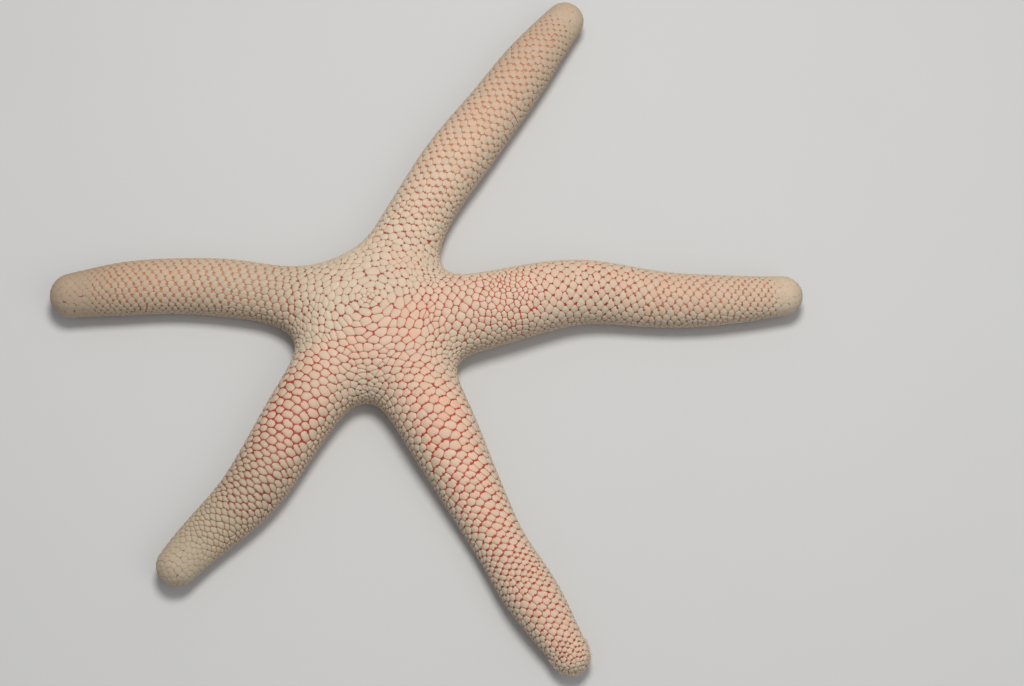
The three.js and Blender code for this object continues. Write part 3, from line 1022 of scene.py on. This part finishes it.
def plate_piece(name, ids, K, material, rings, plain=False):
    """Domed plates: a crown point, rings out to the rim, and a rim below the skin."""
    n = len(ids)
    if plain:
        theta = np.arange(K) * 2 * math.pi / K + RNG.uniform(0, 2 * math.pi, (n, 1))
    else:
        theta = spread_angles(ids, K)
    r = outline(ids, theta)
    r = r * (1 + 0.016 * np.cos(2 * theta + TILT[ids][:, None]) + 0.018 * np.cos(3 * theta - 5 * TONE[ids][:, None]))
    if not plain:
        r = notch(ids, theta, r)
    ex = (r * np.cos(theta) / S_ETA[ids][:, None])[:, :, None] * E1[ids][:, None]
    ey = (r * np.sin(theta))[:, :, None] * E2[ids][:, None]
    arm = ex + ey
    size = S_H[ids]
    low = -0.20 * UNDER[ids]
    crown = 0.025 + 0.012 * (PINK[ids] - 0.5) + low
    flatter = (1 - 0.45 * UNDER[ids]) * (1 - 0.68 * S_END[ids]) * (0.92 + 0.08 * smooth01(S_S[ids], 10, 18)) * RELIEF[ids]
    along_arm = np.array([0.022, 0.026, 0.050, 0.050, 0.022])[S_ARM[ids]][:, None]
    lean = 0.030 * np.cos(theta - TILT[ids][:, None]) + along_arm * np.cos(theta)
    pts = [SEED[ids][:, None]]
    lev = [crown[:, None]]
    rho = [np.zeros((n, 1))]
    for f, drop_a, drop_b, sh in rings:
        pts.append(SEED[ids][:, None] + arm * f)
        if sh > 1.1:
            lev.append(np.full((n, K), -0.37) + 0 * theta)
        else:
            lev.append((crown - (drop_a + drop_b * size) * flatter)[:, None] + lean * f)
        rho.append(np.full((n, K), sh))
    P = np.concatenate(pts, 1).reshape(-1, 3)
    L = np.concatenate(lev, 1).reshape(-1)
    P = to_level(P, L, 4)
    P[:, 2] = np.maximum(P[:, 2], 0.02)
    V = 1 + K * len(rings)
    k = np.arange(K)
    k2 = (k + 1) % K
    one = [np.stack([0 * k, 1 + k, 1 + k2, -1 + 0 * k], -1)]
    for j in range(len(rings) - 1):
        a, b = 1 + j * K, 1 + (j + 1) * K
        one.append(np.stack([a + k, b + k, b + k2, a + k2], -1))
    one = np.vstack(one)
    faces = one[None] + (np.arange(n) * V)[:, None, None]
    faces[:, one < 0] = -1
    flat = [np.zeros((n, 1, 2))]
    for f, _, _, sh in rings:
        g = sh * 0.9 if sh <= 1.1 else 1.0
        flat.append(np.stack([np.cos(theta), np.sin(theta)], -1) * g)
    uv = S_UV[ids][:, None] + np.concatenate(flat, 1) * PATCH
    rep = lambda a: np.repeat(a[ids], V)
    shades = {
        "rho": np.concatenate(rho, 1).ravel(),
        "tone": rep(TONE),
        "pink": rep(np.minimum(PINK + HEARTS + 0.7 * ruddy(SEED), 1.2)),
        "pale": rep(pallor(SEED, S_N, S_ARM, S_S)),
        "flank": np.maximum(1 - smooth01(normals_at(P)[:, 2], 0.10, 0.80), rep(0.5 * webbing(SEED))),
        "under": rep(UNDER),
        "red": rep(S_RED),
        # the tips' tan, partly painted shade for the light falling off towards them
        "reach": rep(TIP_TAN_AND_SHADE_AMOUNT),
        "fourth_arm_painted_shade": rep(fourth_arm_painted_shade(S_ARM, S_S)),
        "soft": rep(S_SOFT),
        "end": rep(S_END),
        "hot": rep(MIXED),
    }
    return build(name, P, faces.reshape(-1, 4), material, uv=uv.reshape(-1, 2), shades=shades)


# how far out along its arm a plate lies, 0 on the disc to 1 at the end, sets the tips' colour below: partly the plates'
# own tan, partly painted shade for the light falling off towards the far tips
# the first two arms are peach along the back towards their ends
HEARTS = np.where(S_ARM == 1, 0.85 * smooth01(S_T, 0.55, 0.75), (S_ARM == 0) * 0.9 * smooth01(S_T, 0.25, 0.65))
HEARTS = HEARTS * (1 - smooth01(S_T, 0.93, 1.0)) * smooth01(S_N[:, 2], 0.55, 0.9)
# painted shade with real tan: the plates darken towards the arms' ends by arm, partly their own colour and partly
# standing in for the light falling off towards the far tips; the fifth arm also darkens along most of its length
TIP_TAN_AND_SHADE = np.array([1.00, 0.48, 0.18, 1.05, 0.70])
TIP_TAN_AND_SHADE_AMOUNT = smooth01(S_T, np.array([0.25, 0.25, 0.25, 0.30, 0.55])[S_ARM], 1.0) * TIP_TAN_AND_SHADE[S_ARM]
TIP_TAN_AND_SHADE_AMOUNT += 0.72 * (S_ARM == 4) * smooth01(S_T, 0.12, 0.36)


def softness(arm, s):
    """Where the pores and gaps are a pale orange brown instead of dark red."""
    far = [smooth01(s, 14, 34) * 0.95, smooth01(s, 36, 60) * 0.75, 0 * s, smooth01(s, 44, 54) * 0.6, smooth01(s, 12, 24)]
    return np.select([arm == k for k in range(5)], far)


def fourth_arm_painted_shade(arm, s):
    """Painted shade out along the fourth arm: greyer plates and darker gaps and skin, standing in for the light falling
    off there.
    """
    return (arm == 3) * (0.30 * smooth01(s, 10, 20) + 0.70 * smooth01(s, 26, 40))


S_SOFT = softness(S_ARM, S_S)


# ------------------------------------------------------------------ materials
def new_material(name):
    m = bpy.data.materials.new(name)
    m.use_nodes = True
    t = m.node_tree
    t.nodes.clear()
    out = t.nodes.new("ShaderNodeOutputMaterial")
    b = t.nodes.new("ShaderNodeBsdfPrincipled")
    t.links.new(b.outputs[0], out.inputs[0])
    return m, t, b


def srgb(r, g, b):
    f = lambda c: c / 12.92 if c <= 0.04045 else ((c + 0.055) / 1.055) ** 2.4
    return (f(r), f(g), f(b), 1.0)


def attr(t, name):
    n = t.nodes.new("ShaderNodeAttribute")
    n.attribute_name = name
    return n.outputs["Fac"]


def mix(t, fac, a, b, mode="MIX"):
    n = t.nodes.new("ShaderNodeMix")
    n.data_type = "RGBA"
    n.blend_type = mode
    n.clamp_factor = True
    for sock, v in ((n.inputs["Factor"], fac), (n.inputs[6], a), (n.inputs[7], b)):
        if isinstance(v, (int, float, tuple)):
            sock.default_value = v
        else:
            t.links.new(v, sock)
    return n.outputs[2]


def calc(t, op, a, b=0.0, c=0.0, clamp=False):
    n = t.nodes.new("ShaderNodeMath")
    n.operation = op
    n.use_clamp = clamp
    for sock, v in zip(list(n.inputs)[:3], (a, b, c)):
        if isinstance(v, (int, float)):
            sock.default_value = v
        else:
            t.links.new(v, sock)
    return n.outputs[0]


def ramp(t, x, lo, hi, a=0.0, b=1.0, kind="SMOOTHSTEP"):
    n = t.nodes.new("ShaderNodeMapRange")
    n.interpolation_type = kind
    t.links.new(x, n.inputs[0])
    for i, v in enumerate((lo, hi, a, b)):
        n.inputs[i + 1].default_value = v
    return n.outputs[0]


def noise(t, scale, detail=2.0, rough=0.5):
    co = t.nodes.new("ShaderNodeTexCoord")
    n = t.nodes.new("ShaderNodeTexNoise")
    n.inputs["Scale"].default_value = scale
    n.inputs["Detail"].default_value = detail
    n.inputs["Roughness"].default_value = rough
    t.links.new(co.outputs["Object"], n.inputs["Vector"])
    return n.outputs[0]


def cells(t, scale):
    co = t.nodes.new("ShaderNodeTexCoord")
    n = t.nodes.new("ShaderNodeTexVoronoi")
    n.inputs["Scale"].default_value = scale
    t.links.new(co.outputs["Object"], n.inputs["Vector"])
    return n.outputs[0]


def bump(t, shader, height, strength, distance):
    n = t.nodes.new("ShaderNodeBump")
    n.inputs["Strength"].default_value = strength
    n.inputs["Distance"].default_value = distance
    t.links.new(height, n.inputs["Height"])
    t.links.new(n.outputs[0], shader.inputs["Normal"])


def plate_material(name):
    m, t, b = new_material(name)
    rho, tone, pink = attr(t, "rho"), attr(t, "tone"), attr(t, "pink")
    flank, under, red, reach = attr(t, "flank"), attr(t, "under"), attr(t, "red"), attr(t, "reach")
    soft = attr(t, "soft")
    cool = mix(t, tone, srgb(0.805, 0.752, 0.650), srgb(0.850, 0.796, 0.695))
    warmer = mix(t, tone, srgb(0.835, 0.745, 0.640), srgb(0.875, 0.785, 0.685))
    cream = mix(t, ramp(t, red, 0.25, 0.65), cool, warmer)
    cream = mix(t, calc(t, "MULTIPLY", attr(t, "pale"), 0.8), cream, srgb(0.805, 0.760, 0.665))
    heart = ramp(t, rho, 0.25, 1.05, 1.0, 0.25)
    warm = calc(t, "MULTIPLY_ADD", red, 0.22, calc(t, "MULTIPLY_ADD", calc(t, "POWER", pink, 2.2), calc(t, "MULTIPLY_ADD", red, 0.30, 0.24), 0.10))
    amount = calc(t, "MULTIPLY", heart, calc(t, "MULTIPLY", warm, calc(t, "MULTIPLY_ADD", attr(t, "pale"), -0.75, 1.0)))
    peach = mix(t, amount, cream, srgb(0.905, 0.70, 0.59))
    # the sides turn greyer; the arms' ends turn tan and browner, partly the plates' own colour and partly painted shade
    # for the light falling off towards the far tips
    side = mix(t, calc(t, "MULTIPLY", flank, 0.90), peach, srgb(0.730, 0.678, 0.590))
    tan = mix(t, attr(t, "pale"), srgb(0.685, 0.590, 0.490), srgb(0.662, 0.604, 0.512))
    tan = mix(t, calc(t, "MULTIPLY", reach, 0.65, clamp=True), side, tan)
    tan = mix(t, calc(t, "MULTIPLY_ADD", reach, 1.1, -1.35, clamp=True), tan, srgb(0.53, 0.475, 0.395))
    # painted shade: the plates greyer and duller out along the fourth arm, for the light falling off there
    tan = mix(t, calc(t, "MULTIPLY", attr(t, "fourth_arm_painted_shade"), 0.80), tan, srgb(0.692, 0.643, 0.546))
    pale = mix(t, calc(t, "MULTIPLY", under, 0.8), tan, srgb(0.86, 0.78, 0.68))
    # warm light shows through the thin edges
    edge = calc(t, "MULTIPLY", ramp(t, rho, 0.91, 1.03), calc(t, "MULTIPLY_ADD", red, 0.24, 0.46))
    edge = calc(t, "MULTIPLY", edge, calc(t, "MULTIPLY_ADD", attr(t, "end"), -0.8, 1.0))
    rim = mix(t, edge, pale, srgb(0.84, 0.47, 0.31))
    deep = mix(t, red, srgb(0.76, 0.37, 0.23), srgb(0.83, 0.29, 0.18))
    deep = mix(t, calc(t, "MULTIPLY", soft, 0.85), deep, srgb(0.84, 0.66, 0.51))
    deep = mix(t, calc(t, "MULTIPLY", flank, 0.8), deep, srgb(0.68, 0.52, 0.40))
    deep = mix(t, attr(t, "hot"), deep, srgb(0.90, 0.32, 0.18))
    # painted shade: the gaps darker out along the fourth arm
    deep = mix(t, calc(t, "MULTIPLY", attr(t, "fourth_arm_painted_shade"), 0.8), deep, srgb(0.70, 0.36, 0.20))
    deep = mix(t, calc(t, "MULTIPLY", attr(t, "end"), 0.9), deep, srgb(0.70, 0.61, 0.51))
    wall = mix(t, ramp(t, rho, 1.0, 1.18), rim, deep)
    spots = ramp(t, noise(t, 9000.0, 3.0, 0.6), 0.35, 0.75)
    speck = mix(t, calc(t, "MULTIPLY", spots, 0.16), wall, srgb(0.74, 0.58, 0.47))
    broad = mix(t, calc(t, "MULTIPLY", ramp(t, noise(t, 160.0, 3.0), 0.35, 0.7), 0.22), speck, srgb(0.80, 0.70, 0.60))
    t.links.new(broad, b.inputs["Base Color"])
    t.links.new(ramp(t, noise(t, 5000.0), 0.3, 0.7, 0.58, 0.74), b.inputs["Roughness"])
    b.inputs["Subsurface Weight"].default_value = 0.0
    b.inputs["Specular IOR Level"].default_value = 0.35
    grain = mix(t, 0.5, cells(t, 7200.0), noise(t, 13000.0, 2.0))
    bump(t, b, grain, 0.55, 0.00006)
    return m


def skin_material():
    m, t, b = new_material("skin between plates")
    red, cover, flank, soft = attr(t, "red"), attr(t, "cover"), attr(t, "flank"), attr(t, "soft")
    tint = mix(t, red, srgb(0.70, 0.30, 0.18), srgb(0.76, 0.205, 0.135))
    tint = mix(t, calc(t, "MULTIPLY", soft, 0.85), tint, srgb(0.84, 0.64, 0.48))
    tint = mix(t, calc(t, "MULTIPLY", flank, 0.8), tint, srgb(0.62, 0.43, 0.31))
    tint = mix(t, attr(t, "hot"), tint, srgb(0.84, 0.24, 0.12))
    dark = calc(t, "MULTIPLY", ramp(t, noise(t, 900.0, 3.0), 0.36, 0.62), calc(t, "MULTIPLY_ADD", soft, -0.4, 0.62))
    blot = mix(t, dark, tint, srgb(0.56, 0.155, 0.115))
    # painted shade: the skin darker out along the fourth arm
    blot = mix(t, calc(t, "MULTIPLY", attr(t, "fourth_arm_painted_shade"), 0.85), blot, srgb(0.46, 0.205, 0.13))
    blot = mix(t, calc(t, "MULTIPLY", attr(t, "end"), 0.85), blot, srgb(0.68, 0.57, 0.46))
    full = mix(t, cover, blot, srgb(0.87, 0.72, 0.61))
    t.links.new(full, b.inputs["Base Color"])
    t.links.new(ramp(t, noise(t, 2500.0), 0.3, 0.7, 0.45, 0.65), b.inputs["Roughness"])
    bump(t, b, noise(t, 6000.0, 3.0), 0.4, 0.00006)
    return m


def spine_material(name, base, tip, rough):
    m, t, b = new_material(name)
    rho, tone = attr(t, "rho"), attr(t, "tone")
    c = mix(t, ramp(t, rho, 0.0, 1.0), base, tip)
    c = mix(t, calc(t, "MULTIPLY", tone, 0.35), c, srgb(0.70, 0.58, 0.47))
    c = mix(t, calc(t, "MULTIPLY", ramp(t, noise(t, 7000.0, 2.0), 0.4, 0.7), 0.3), c, srgb(0.80, 0.62, 0.50))
    t.links.new(c, b.inputs["Base Color"])
    b.inputs["Roughness"].default_value = rough
    bump(t, b, noise(t, 9000.0, 2.0), 0.4, 0.00004)
    return m


def pore_material():
    m, t, b = new_material("papulae")
    tone, red, soft = attr(t, "tone"), attr(t, "red"), attr(t, "soft")
    c = mix(t, red, srgb(0.64, 0.26, 0.15), srgb(0.70, 0.20, 0.13))
    c = mix(t, calc(t, "MULTIPLY", tone, 0.40), c, srgb(0.48, 0.17, 0.14))
    c = mix(t, calc(t, "MULTIPLY", soft, 0.85), c, srgb(0.83, 0.58, 0.40))
    c = mix(t, calc(t, "MULTIPLY", ramp(t, noise(t, 7000.0, 2.0), 0.4, 0.7), 0.3), c, srgb(0.70, 0.40, 0.30))
    t.links.new(c, b.inputs["Base Color"])
    b.inputs["Roughness"].default_value = 0.45
    bump(t, b, noise(t, 9000.0, 2.0), 0.4, 0.00004)
    return m


M_DISC = plate_material("disc plates")
M_ARM = plate_material("arm plates")
M_SKIN = skin_material()
M_SPINE = spine_material("spinelets", srgb(0.82, 0.68, 0.56), srgb(0.90, 0.84, 0.76), 0.6)
M_PORE = pore_material()
M_FEET = spine_material("tube feet", srgb(0.86, 0.62, 0.36), srgb(0.93, 0.82, 0.62), 0.3)


# ------------------------------------------------------------------- the skin
SK_V, SK_Q = level_surface(-SKIN_DEPTH)
SK_V = to_level(SK_V, -SKIN_DEPTH, 3)
k_arm, k_s, k_left, k_away = locate(SK_V)
k_n = normals_at(SK_V)
k_red = redness(SK_V, k_n, k_arm, k_s)
SK_V = to_level(SK_V, -SKIN_DEPTH + 0.09 * k_red, 2)
centre = SK_V[SK_Q].mean(1)
f_arm, f_s, f_left, _ = locate(centre)
f_chart = chart_of(centre, f_arm, f_s)
f_beta = beta_of(centre, f_arm, f_s, f_left)
flat = SK_Q.ravel()
loop_uv = unwrap(SK_V[flat], k_arm[flat], k_s[flat], k_left[flat], np.repeat(f_chart, 4), np.repeat(f_beta, 4))
# plates' places carried on the skin too, so that both show the same pattern
k_q = stretch(SK_V + k_n * SKIN_DEPTH, k_arm, k_s)
owner = np.fromiter((tree.find(q)[1] for q in k_q), int, len(k_q))
rel = SK_V + k_n * SKIN_DEPTH - SEED[owner]
rx = (rel * E1[owner]).sum(1) * S_ETA[owner]
ry = (rel * E2[owner]).sum(1)
edge = outline(owner, np.arctan2(ry, rx)[:, None])[:, 0]
cover = 1 - smooth01(np.hypot(rx, ry) / edge, 0.45, 0.70)
bare = in_groove(SK_V + k_n * SKIN_DEPTH, k_n, k_arm, k_s, k_away)
cover[bare] = 0.75
skin = build(
    "skin",
    SK_V,
    SK_Q,
    M_SKIN,
    loop_uv=loop_uv,
    shades={
        "red": k_red,
        "soft": softness(k_arm, k_s),
        "cover": cover,
        "end": S_END[owner],
        "hot": patchy(k_arm, k_s, k_away),
        "fourth_arm_painted_shade": fourth_arm_painted_shade(k_arm, k_s),
        "flank": np.maximum(1 - smooth01(k_n[:, 2], 0.1, 0.8), 0.5 * webbing(SK_V)),
    },
)
NODES = ["disc"] + [f"arm_{k}_{part}" for k in range(1, 6) for part in ("base", "middle", "tip")]
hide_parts(*NODES)

# ----------------------------------------------------------------- the plates
# each ring: reach, drop in mm, further drop by size, shade from crown to foot
FULL = ((0.50, 0.012, 0.020, 0.5), (0.80, 0.040, 0.046, 0.80), (0.94, 0.075, 0.062, 0.94), (1.0, 0.135, 0.062, 1.04), (1.0, 0, 0, 1.25))
SOME = ((0.55, 0.010, 0.015, 0.55), (0.90, 0.045, 0.045, 0.90), (1.0, 0.13, 0.050, 1.04), (1.0, 0, 0, 1.25))
up = S_N[:, 2] > 0.08
on_disc = S_S < 17.0
groups = [("plates_disc", up & on_disc & (SEED[:, 2] > 3.0), 20, FULL, M_DISC, "disc_plates", False)]
rest = ~(up & on_disc & (SEED[:, 2] > 3.0))
for k in range(5):
    mine = rest & ~on_disc & (S_ARM == k)
    groups.append((f"plates_arm_{k + 1}_back", mine & up, 19, FULL, M_ARM, "arm_plates", False))
    groups.append((f"plates_arm_{k + 1}_under", mine & ~up, 10, SOME, M_ARM, "arm_plates", True))
groups.append(("plates_mouth_side", rest & on_disc, 10, SOME, M_DISC, "disc_plates", True))
for name, mask, K, rings, mat, slot, plain in groups:
    plate_piece(name, np.nonzero(mask)[0], K, mat, rings, plain)


# ------------------------------------------------------------------- papulae
def frame_of(n):
    ref = np.where(np.abs(n[:, 2:3]) > 0.8, np.array([[1.0, 0, 0]]), np.array([[0, 0, 1.0]]))
    a = np.cross(ref, n)
    a /= np.linalg.norm(a, axis=1)[:, None]
    return a, np.cross(n, a)


def uv_of(P):
    arm, s, left, _ = locate(P)
    return unwrap(P, arm, s, left, chart_of(P, arm, s))


def domes(name, P, radius, material, top=-0.15, K=7):
    n = normals_at(P)
    a, b = frame_of(n)
    th = np.arange(K) * 2 * math.pi / K + RNG.uniform(0, 6.28, (len(P), 1))
    ring = np.cos(th)[:, :, None] * a[:, None] + np.sin(th)[:, :, None] * b[:, None]
    pts = np.concatenate([P[:, None], P[:, None] + ring * (0.6 * radius)[:, None, None], P[:, None] + ring * radius[:, None, None]], 1)
    lev = np.concatenate([np.full((len(P), 1), top), np.full((len(P), K), top - 0.04), np.full((len(P), K), -0.36)], 1)
    V = 1 + 2 * K
    X = to_level(pts.reshape(-1, 3), lev.ravel(), 4)
    k = np.arange(K)
    k2 = (k + 1) % K
    one = np.vstack([np.stack([0 * k, 1 + k, 1 + k2, -1 + 0 * k], -1), np.stack([1 + k, 1 + K + k, 1 + K + k2, 1 + k2], -1)])
    faces = one[None] + (np.arange(len(P)) * V)[:, None, None]
    faces[:, one < 0] = -1
    c = uv_of(P)
    flat = np.concatenate([np.zeros((len(P), 1, 2)), np.stack([np.cos(th), np.sin(th)], -1) * 0.6, np.stack([np.cos(th), np.sin(th)], -1)], 1)
    uv = c[:, None] + flat * PATCH
    rho = np.tile(np.concatenate([[1.0], np.full(K, 0.6), np.zeros(K)]), len(P))
    shades = {"rho": rho, "tone": np.repeat(RNG.random(len(P)), V), "red": np.repeat(C_RED, V), "soft": np.repeat(C_SOFT, V)}
    return build(name, X, faces.reshape(-1, 4), material, uv=uv.reshape(-1, 2), shades=shades)


C_SOFT = softness(*locate(C_P)[:2])
domes("papulae", C_P, C_R * 0.92, M_PORE)


# ------------------------------------------------- spinelets and tube feet
def tubes(name, A, B, stations, K, material, tone=None):
    """Small tapering rods from A to B; stations are (place, radius) along them."""
    n = len(A)
    ax = B - A
    ln = np.linalg.norm(ax, axis=1)
    ax = ax / ln[:, None]
    u, v = frame_of(ax)
    th = np.arange(K) * 2 * math.pi / K + RNG.uniform(0, 6.28, (n, 1))
    ring = np.cos(th)[:, :, None] * u[:, None] + np.sin(th)[:, :, None] * v[:, None]
    parts, rho = [], []
    for f, r in stations:
        r = np.broadcast_to(np.asarray(r, float), (n,))
        parts.append(A[:, None] + (B - A)[:, None] * f + ring * r[:, None, None])
        rho.append(np.full((n, K), f))
    parts.append(B[:, None])
    rho.append(np.ones((n, 1)))
    V = K * len(stations) + 1
    X = np.concatenate(parts, 1).reshape(-1, 3)
    k = np.arange(K)
    k2 = (k + 1) % K
    one = []
    for j in range(len(stations) - 1):
        a, b = j * K, (j + 1) * K
        one.append(np.stack([a + k, a + k2, b + k2, b + k], -1))
    a = (len(stations) - 1) * K
    one.append(np.stack([a + k, a + k2, 0 * k + V - 1, -1 + 0 * k], -1))
    one = np.vstack(one)
    faces = one[None] + (np.arange(n) * V)[:, None, None]
    faces[:, one < 0] = -1
    X[:, 2] = np.maximum(X[:, 2], 0.015)
    c = uv_of(A)
    m = len(stations)
    flat = [np.stack([np.cos(th), np.sin(th)], -1) * (1 - j / m) for j in range(m)] + [np.zeros((n, 1, 2))]
    uv = c[:, None] + np.concatenate(flat, 1) * PATCH
    tone = RNG.random(n) if tone is None else tone
    return build(name, X, faces.reshape(-1, 4), material, uv=uv.reshape(-1, 2), shades={"rho": np.concatenate(rho, 1).ravel(), "tone": np.repeat(tone, V)})


def groove_line(pitch, first=3.6):
    """Stations along both banks of every groove: arm, s, side."""
    out = []
    for k in range(5):
        for s in np.arange(first, LENGTH[k] - 0.8, pitch):
            for side in (-1, 1):
                out.append((k, s, side))
    return out


def furrow():
    A, B = [], []
    for k, s, side in groove_line(1.15):
        a = float(half_width(k, s))
        low = float(lift(k, s))
        for j, off in enumerate((-0.36, -0.12, 0.12, 0.36)):
            p, h = point_at(k, np.array(s + off))
            w = np.array([-h[1], h[0]]) * side
            root = p + w * (GROOVE_WIDTH * a + 0.06)
            tip = p + w * max(GROOVE_WIDTH * a - 0.78, 0.10) + h * off * 0.55
            A.append([*root, low + 0.32])
            B.append([*tip, low + 0.10])
    return np.array(A), np.array(B)


A, B = furrow()
tubes("furrow_spinelets", A, B, ((0, 0.10), (0.5, 0.095), (0.85, 0.07)), 5, M_SPINE)


def feet():
    A, B = [], []
    for k, s, side in groove_line(0.92, 4.2):
        a = float(half_width(k, s))
        low = float(lift(k, s))
        off = 0.23 * side
        p, h = point_at(k, np.array(s + off))
        w = np.array([-h[1], h[0]]) * side
        x = GROOVE_WIDTH * a * 0.42
        roof = low + GROOVE_DEPTH * a * (1 - 0.42**2) ** 2 + 0.45
        A.append([*(p + w * x * 0.9), roof])
        B.append([*(p + w * x * 1.05 + h * RNG.uniform(-0.15, 0.15)), low + 0.22])
    return np.array(A), np.array(B)


A, B = feet()
tubes("tube_feet", A, B, ((0, 0.23), (0.35, 0.19), (0.7, 0.18), (0.82, 0.28), (1.0, 0.29)), 8, M_FEET)


def jaws():
    """Spinelets of the five jaws, reaching in over the mouth between the grooves."""
    A, B = [], []
    for k in range(5):
        a = math.radians(HEADING[k][0])
        b = math.radians(HEADING[(k + 1) % 5][0])
        while b > a:
            b -= 2 * math.pi
        mid = (a + b) / 2
        u = np.array([math.cos(mid), math.sin(mid)])
        v = np.array([-u[1], u[0]])
        for row, (out, into, high) in enumerate(((MOUTH_RADIUS + 0.05, 1.15, 0.42), (MOUTH_RADIUS + 0.75, 0.85, 0.30))):
            count = 7 - row
            for j in range(count):
                x = (j - (count - 1) / 2) / ((count - 1) / 2)
                root = DISC_CENTRE + u * (out + 0.35 * abs(x)) + v * x * (1.15 + 0.2 * row)
                tip = root - u * into * (1 - 0.25 * abs(x)) + v * x * 0.10
                A.append([*root, high + 0.05])
                B.append([*tip, high - 0.20])
    return np.array(A), np.array(B)


A, B = jaws()
tubes("jaw_spinelets", A, B, ((0, 0.15), (0.5, 0.15), (0.85, 0.11)), 7, M_SPINE)

# short blunt spinelets on the side and underside plates
low_plates = np.nonzero((S_N[:, 2] < -0.02) & ~TERMINAL)[0]


def bristles(ids, per, reach, length, radius):
    i = np.repeat(ids, per)
    j = np.tile(np.arange(per), len(ids))
    th = TILT[i] + j * 2 * math.pi / per + RNG.uniform(-0.4, 0.4, len(i))
    r = outline(i, th[:, None])[:, 0] * reach * RNG.uniform(0.75, 1.05, len(i))
    P = SEED[i] + E1[i] * (r * np.cos(th) / S_ETA[i])[:, None] + E2[i] * (r * np.sin(th))[:, None]
    A = to_level(P, -0.16 - 0.2 * UNDER[i], 4)
    n = normals_at(A)
    out = E1[i] * 0.5 + n + RNG.normal(0, 0.16, (len(i), 3))
    out /= np.linalg.norm(out, axis=1)[:, None]
    ln = length * RNG.uniform(0.8, 1.2, len(i)) * (1 - 0.45 * UNDER[i])
    B = A + out * ln[:, None]
    B[:, 2] = np.maximum(B[:, 2], 0.03)
    return A, B, radius * RNG.uniform(0.85, 1.15, len(i))


for label, some in (("1", S_ARM < 1), ("2", S_ARM == 1), ("3", S_ARM == 2), ("4", S_ARM == 3), ("5", S_ARM == 4)):
    A, B, R = bristles(low_plates[some[low_plates]], 3, 0.55, 0.24, 0.08)
    tubes("side_spinelets_" + label, A, B, ((0, R), (0.65, R * 0.85)), 5, M_SPINE)
ending = S_S - np.array(LENGTH)[S_ARM] + np.array([-1.0, -1.0, 1.4, -1.0, -1.0])[S_ARM]
end_plates = np.nonzero((ending > 0) & (S_N[:, 2] < 0.30) & ~TERMINAL)[0]
A, B, R = bristles(end_plates, 5, 0.7, 0.60, 0.065)
tubes("end_spinelets", A, B, ((0, R), (0.65, R * 0.8)), 5, M_SPINE)

# ------------------------------------------------------------- floor and light
floor_me = bpy.data.meshes.new("floor")
floor_me.from_pydata([(-3, -3, 0), (3, -3, 0), (3, 3, 0), (-3, 3, 0)], [], [(0, 1, 2, 3)])
floor = bpy.data.objects.new("floor", floor_me)
bpy.context.scene.collection.objects.link(floor)
m, t, b = new_material("plain floor")
c = mix(t, calc(t, "MULTIPLY", noise(t, 30.0, 4.0), 0.25), srgb(0.80, 0.80, 0.79), srgb(0.76, 0.76, 0.75))
t.links.new(c, b.inputs["Base Color"])
b.inputs["Roughness"].default_value = 0.9
b.inputs["Specular IOR Level"].default_value = 0.2
floor_me.materials.append(m)


def lamp(name, at, size, watts, colour, aim):
    d = bpy.data.lights.new(name, "AREA")
    d.shape = "DISK"
    d.size = size
    d.energy = watts
    d.color = colour
    o = bpy.data.objects.new(name, d)
    o.location = at
    o.rotation_euler = (Vector(aim) - Vector(at)).to_track_quat("-Z", "Y").to_euler()
    bpy.context.scene.collection.objects.link(o)


middle = (-0.005, 0.0, 0.004)
lamp("key", (0.03, 0.095, 0.41), 0.16, 1.22, (1.0, 0.98, 0.96), middle)
lamp("fill", (0.32, -0.26, 0.46), 0.5, 0.62, (1.0, 0.99, 0.98), middle)
world = bpy.data.worlds.new("soft")
world.use_nodes = True
world.node_tree.nodes["Background"].inputs[0].default_value = (0.9, 0.92, 1.0, 1)
world.node_tree.nodes["Background"].inputs[1].default_value = 0.32
scene = bpy.context.scene
scene.world = world
scene.view_settings.view_transform = "Standard"

# --------------------------------------------------------------------- camera
ELEVATION = math.radians(66.0)
cam = bpy.data.cameras.new("camera")
cam.lens = 80.0
cam.sensor_width = 36.0
cam.clip_start = 0.01
eye = bpy.data.objects.new("camera", cam)
eye.location = ((DISC_CENTRE[0] + 23.555) * MM, (DISC_CENTRE[1] - 166.709) * MM, 367.631 * MM)
look = Vector((0.0, math.cos(ELEVATION), -math.sin(ELEVATION)))
eye.rotation_euler = look.to_track_quat("-Z", "Y").to_euler()
scene.collection.objects.link(eye)
scene.camera = eye
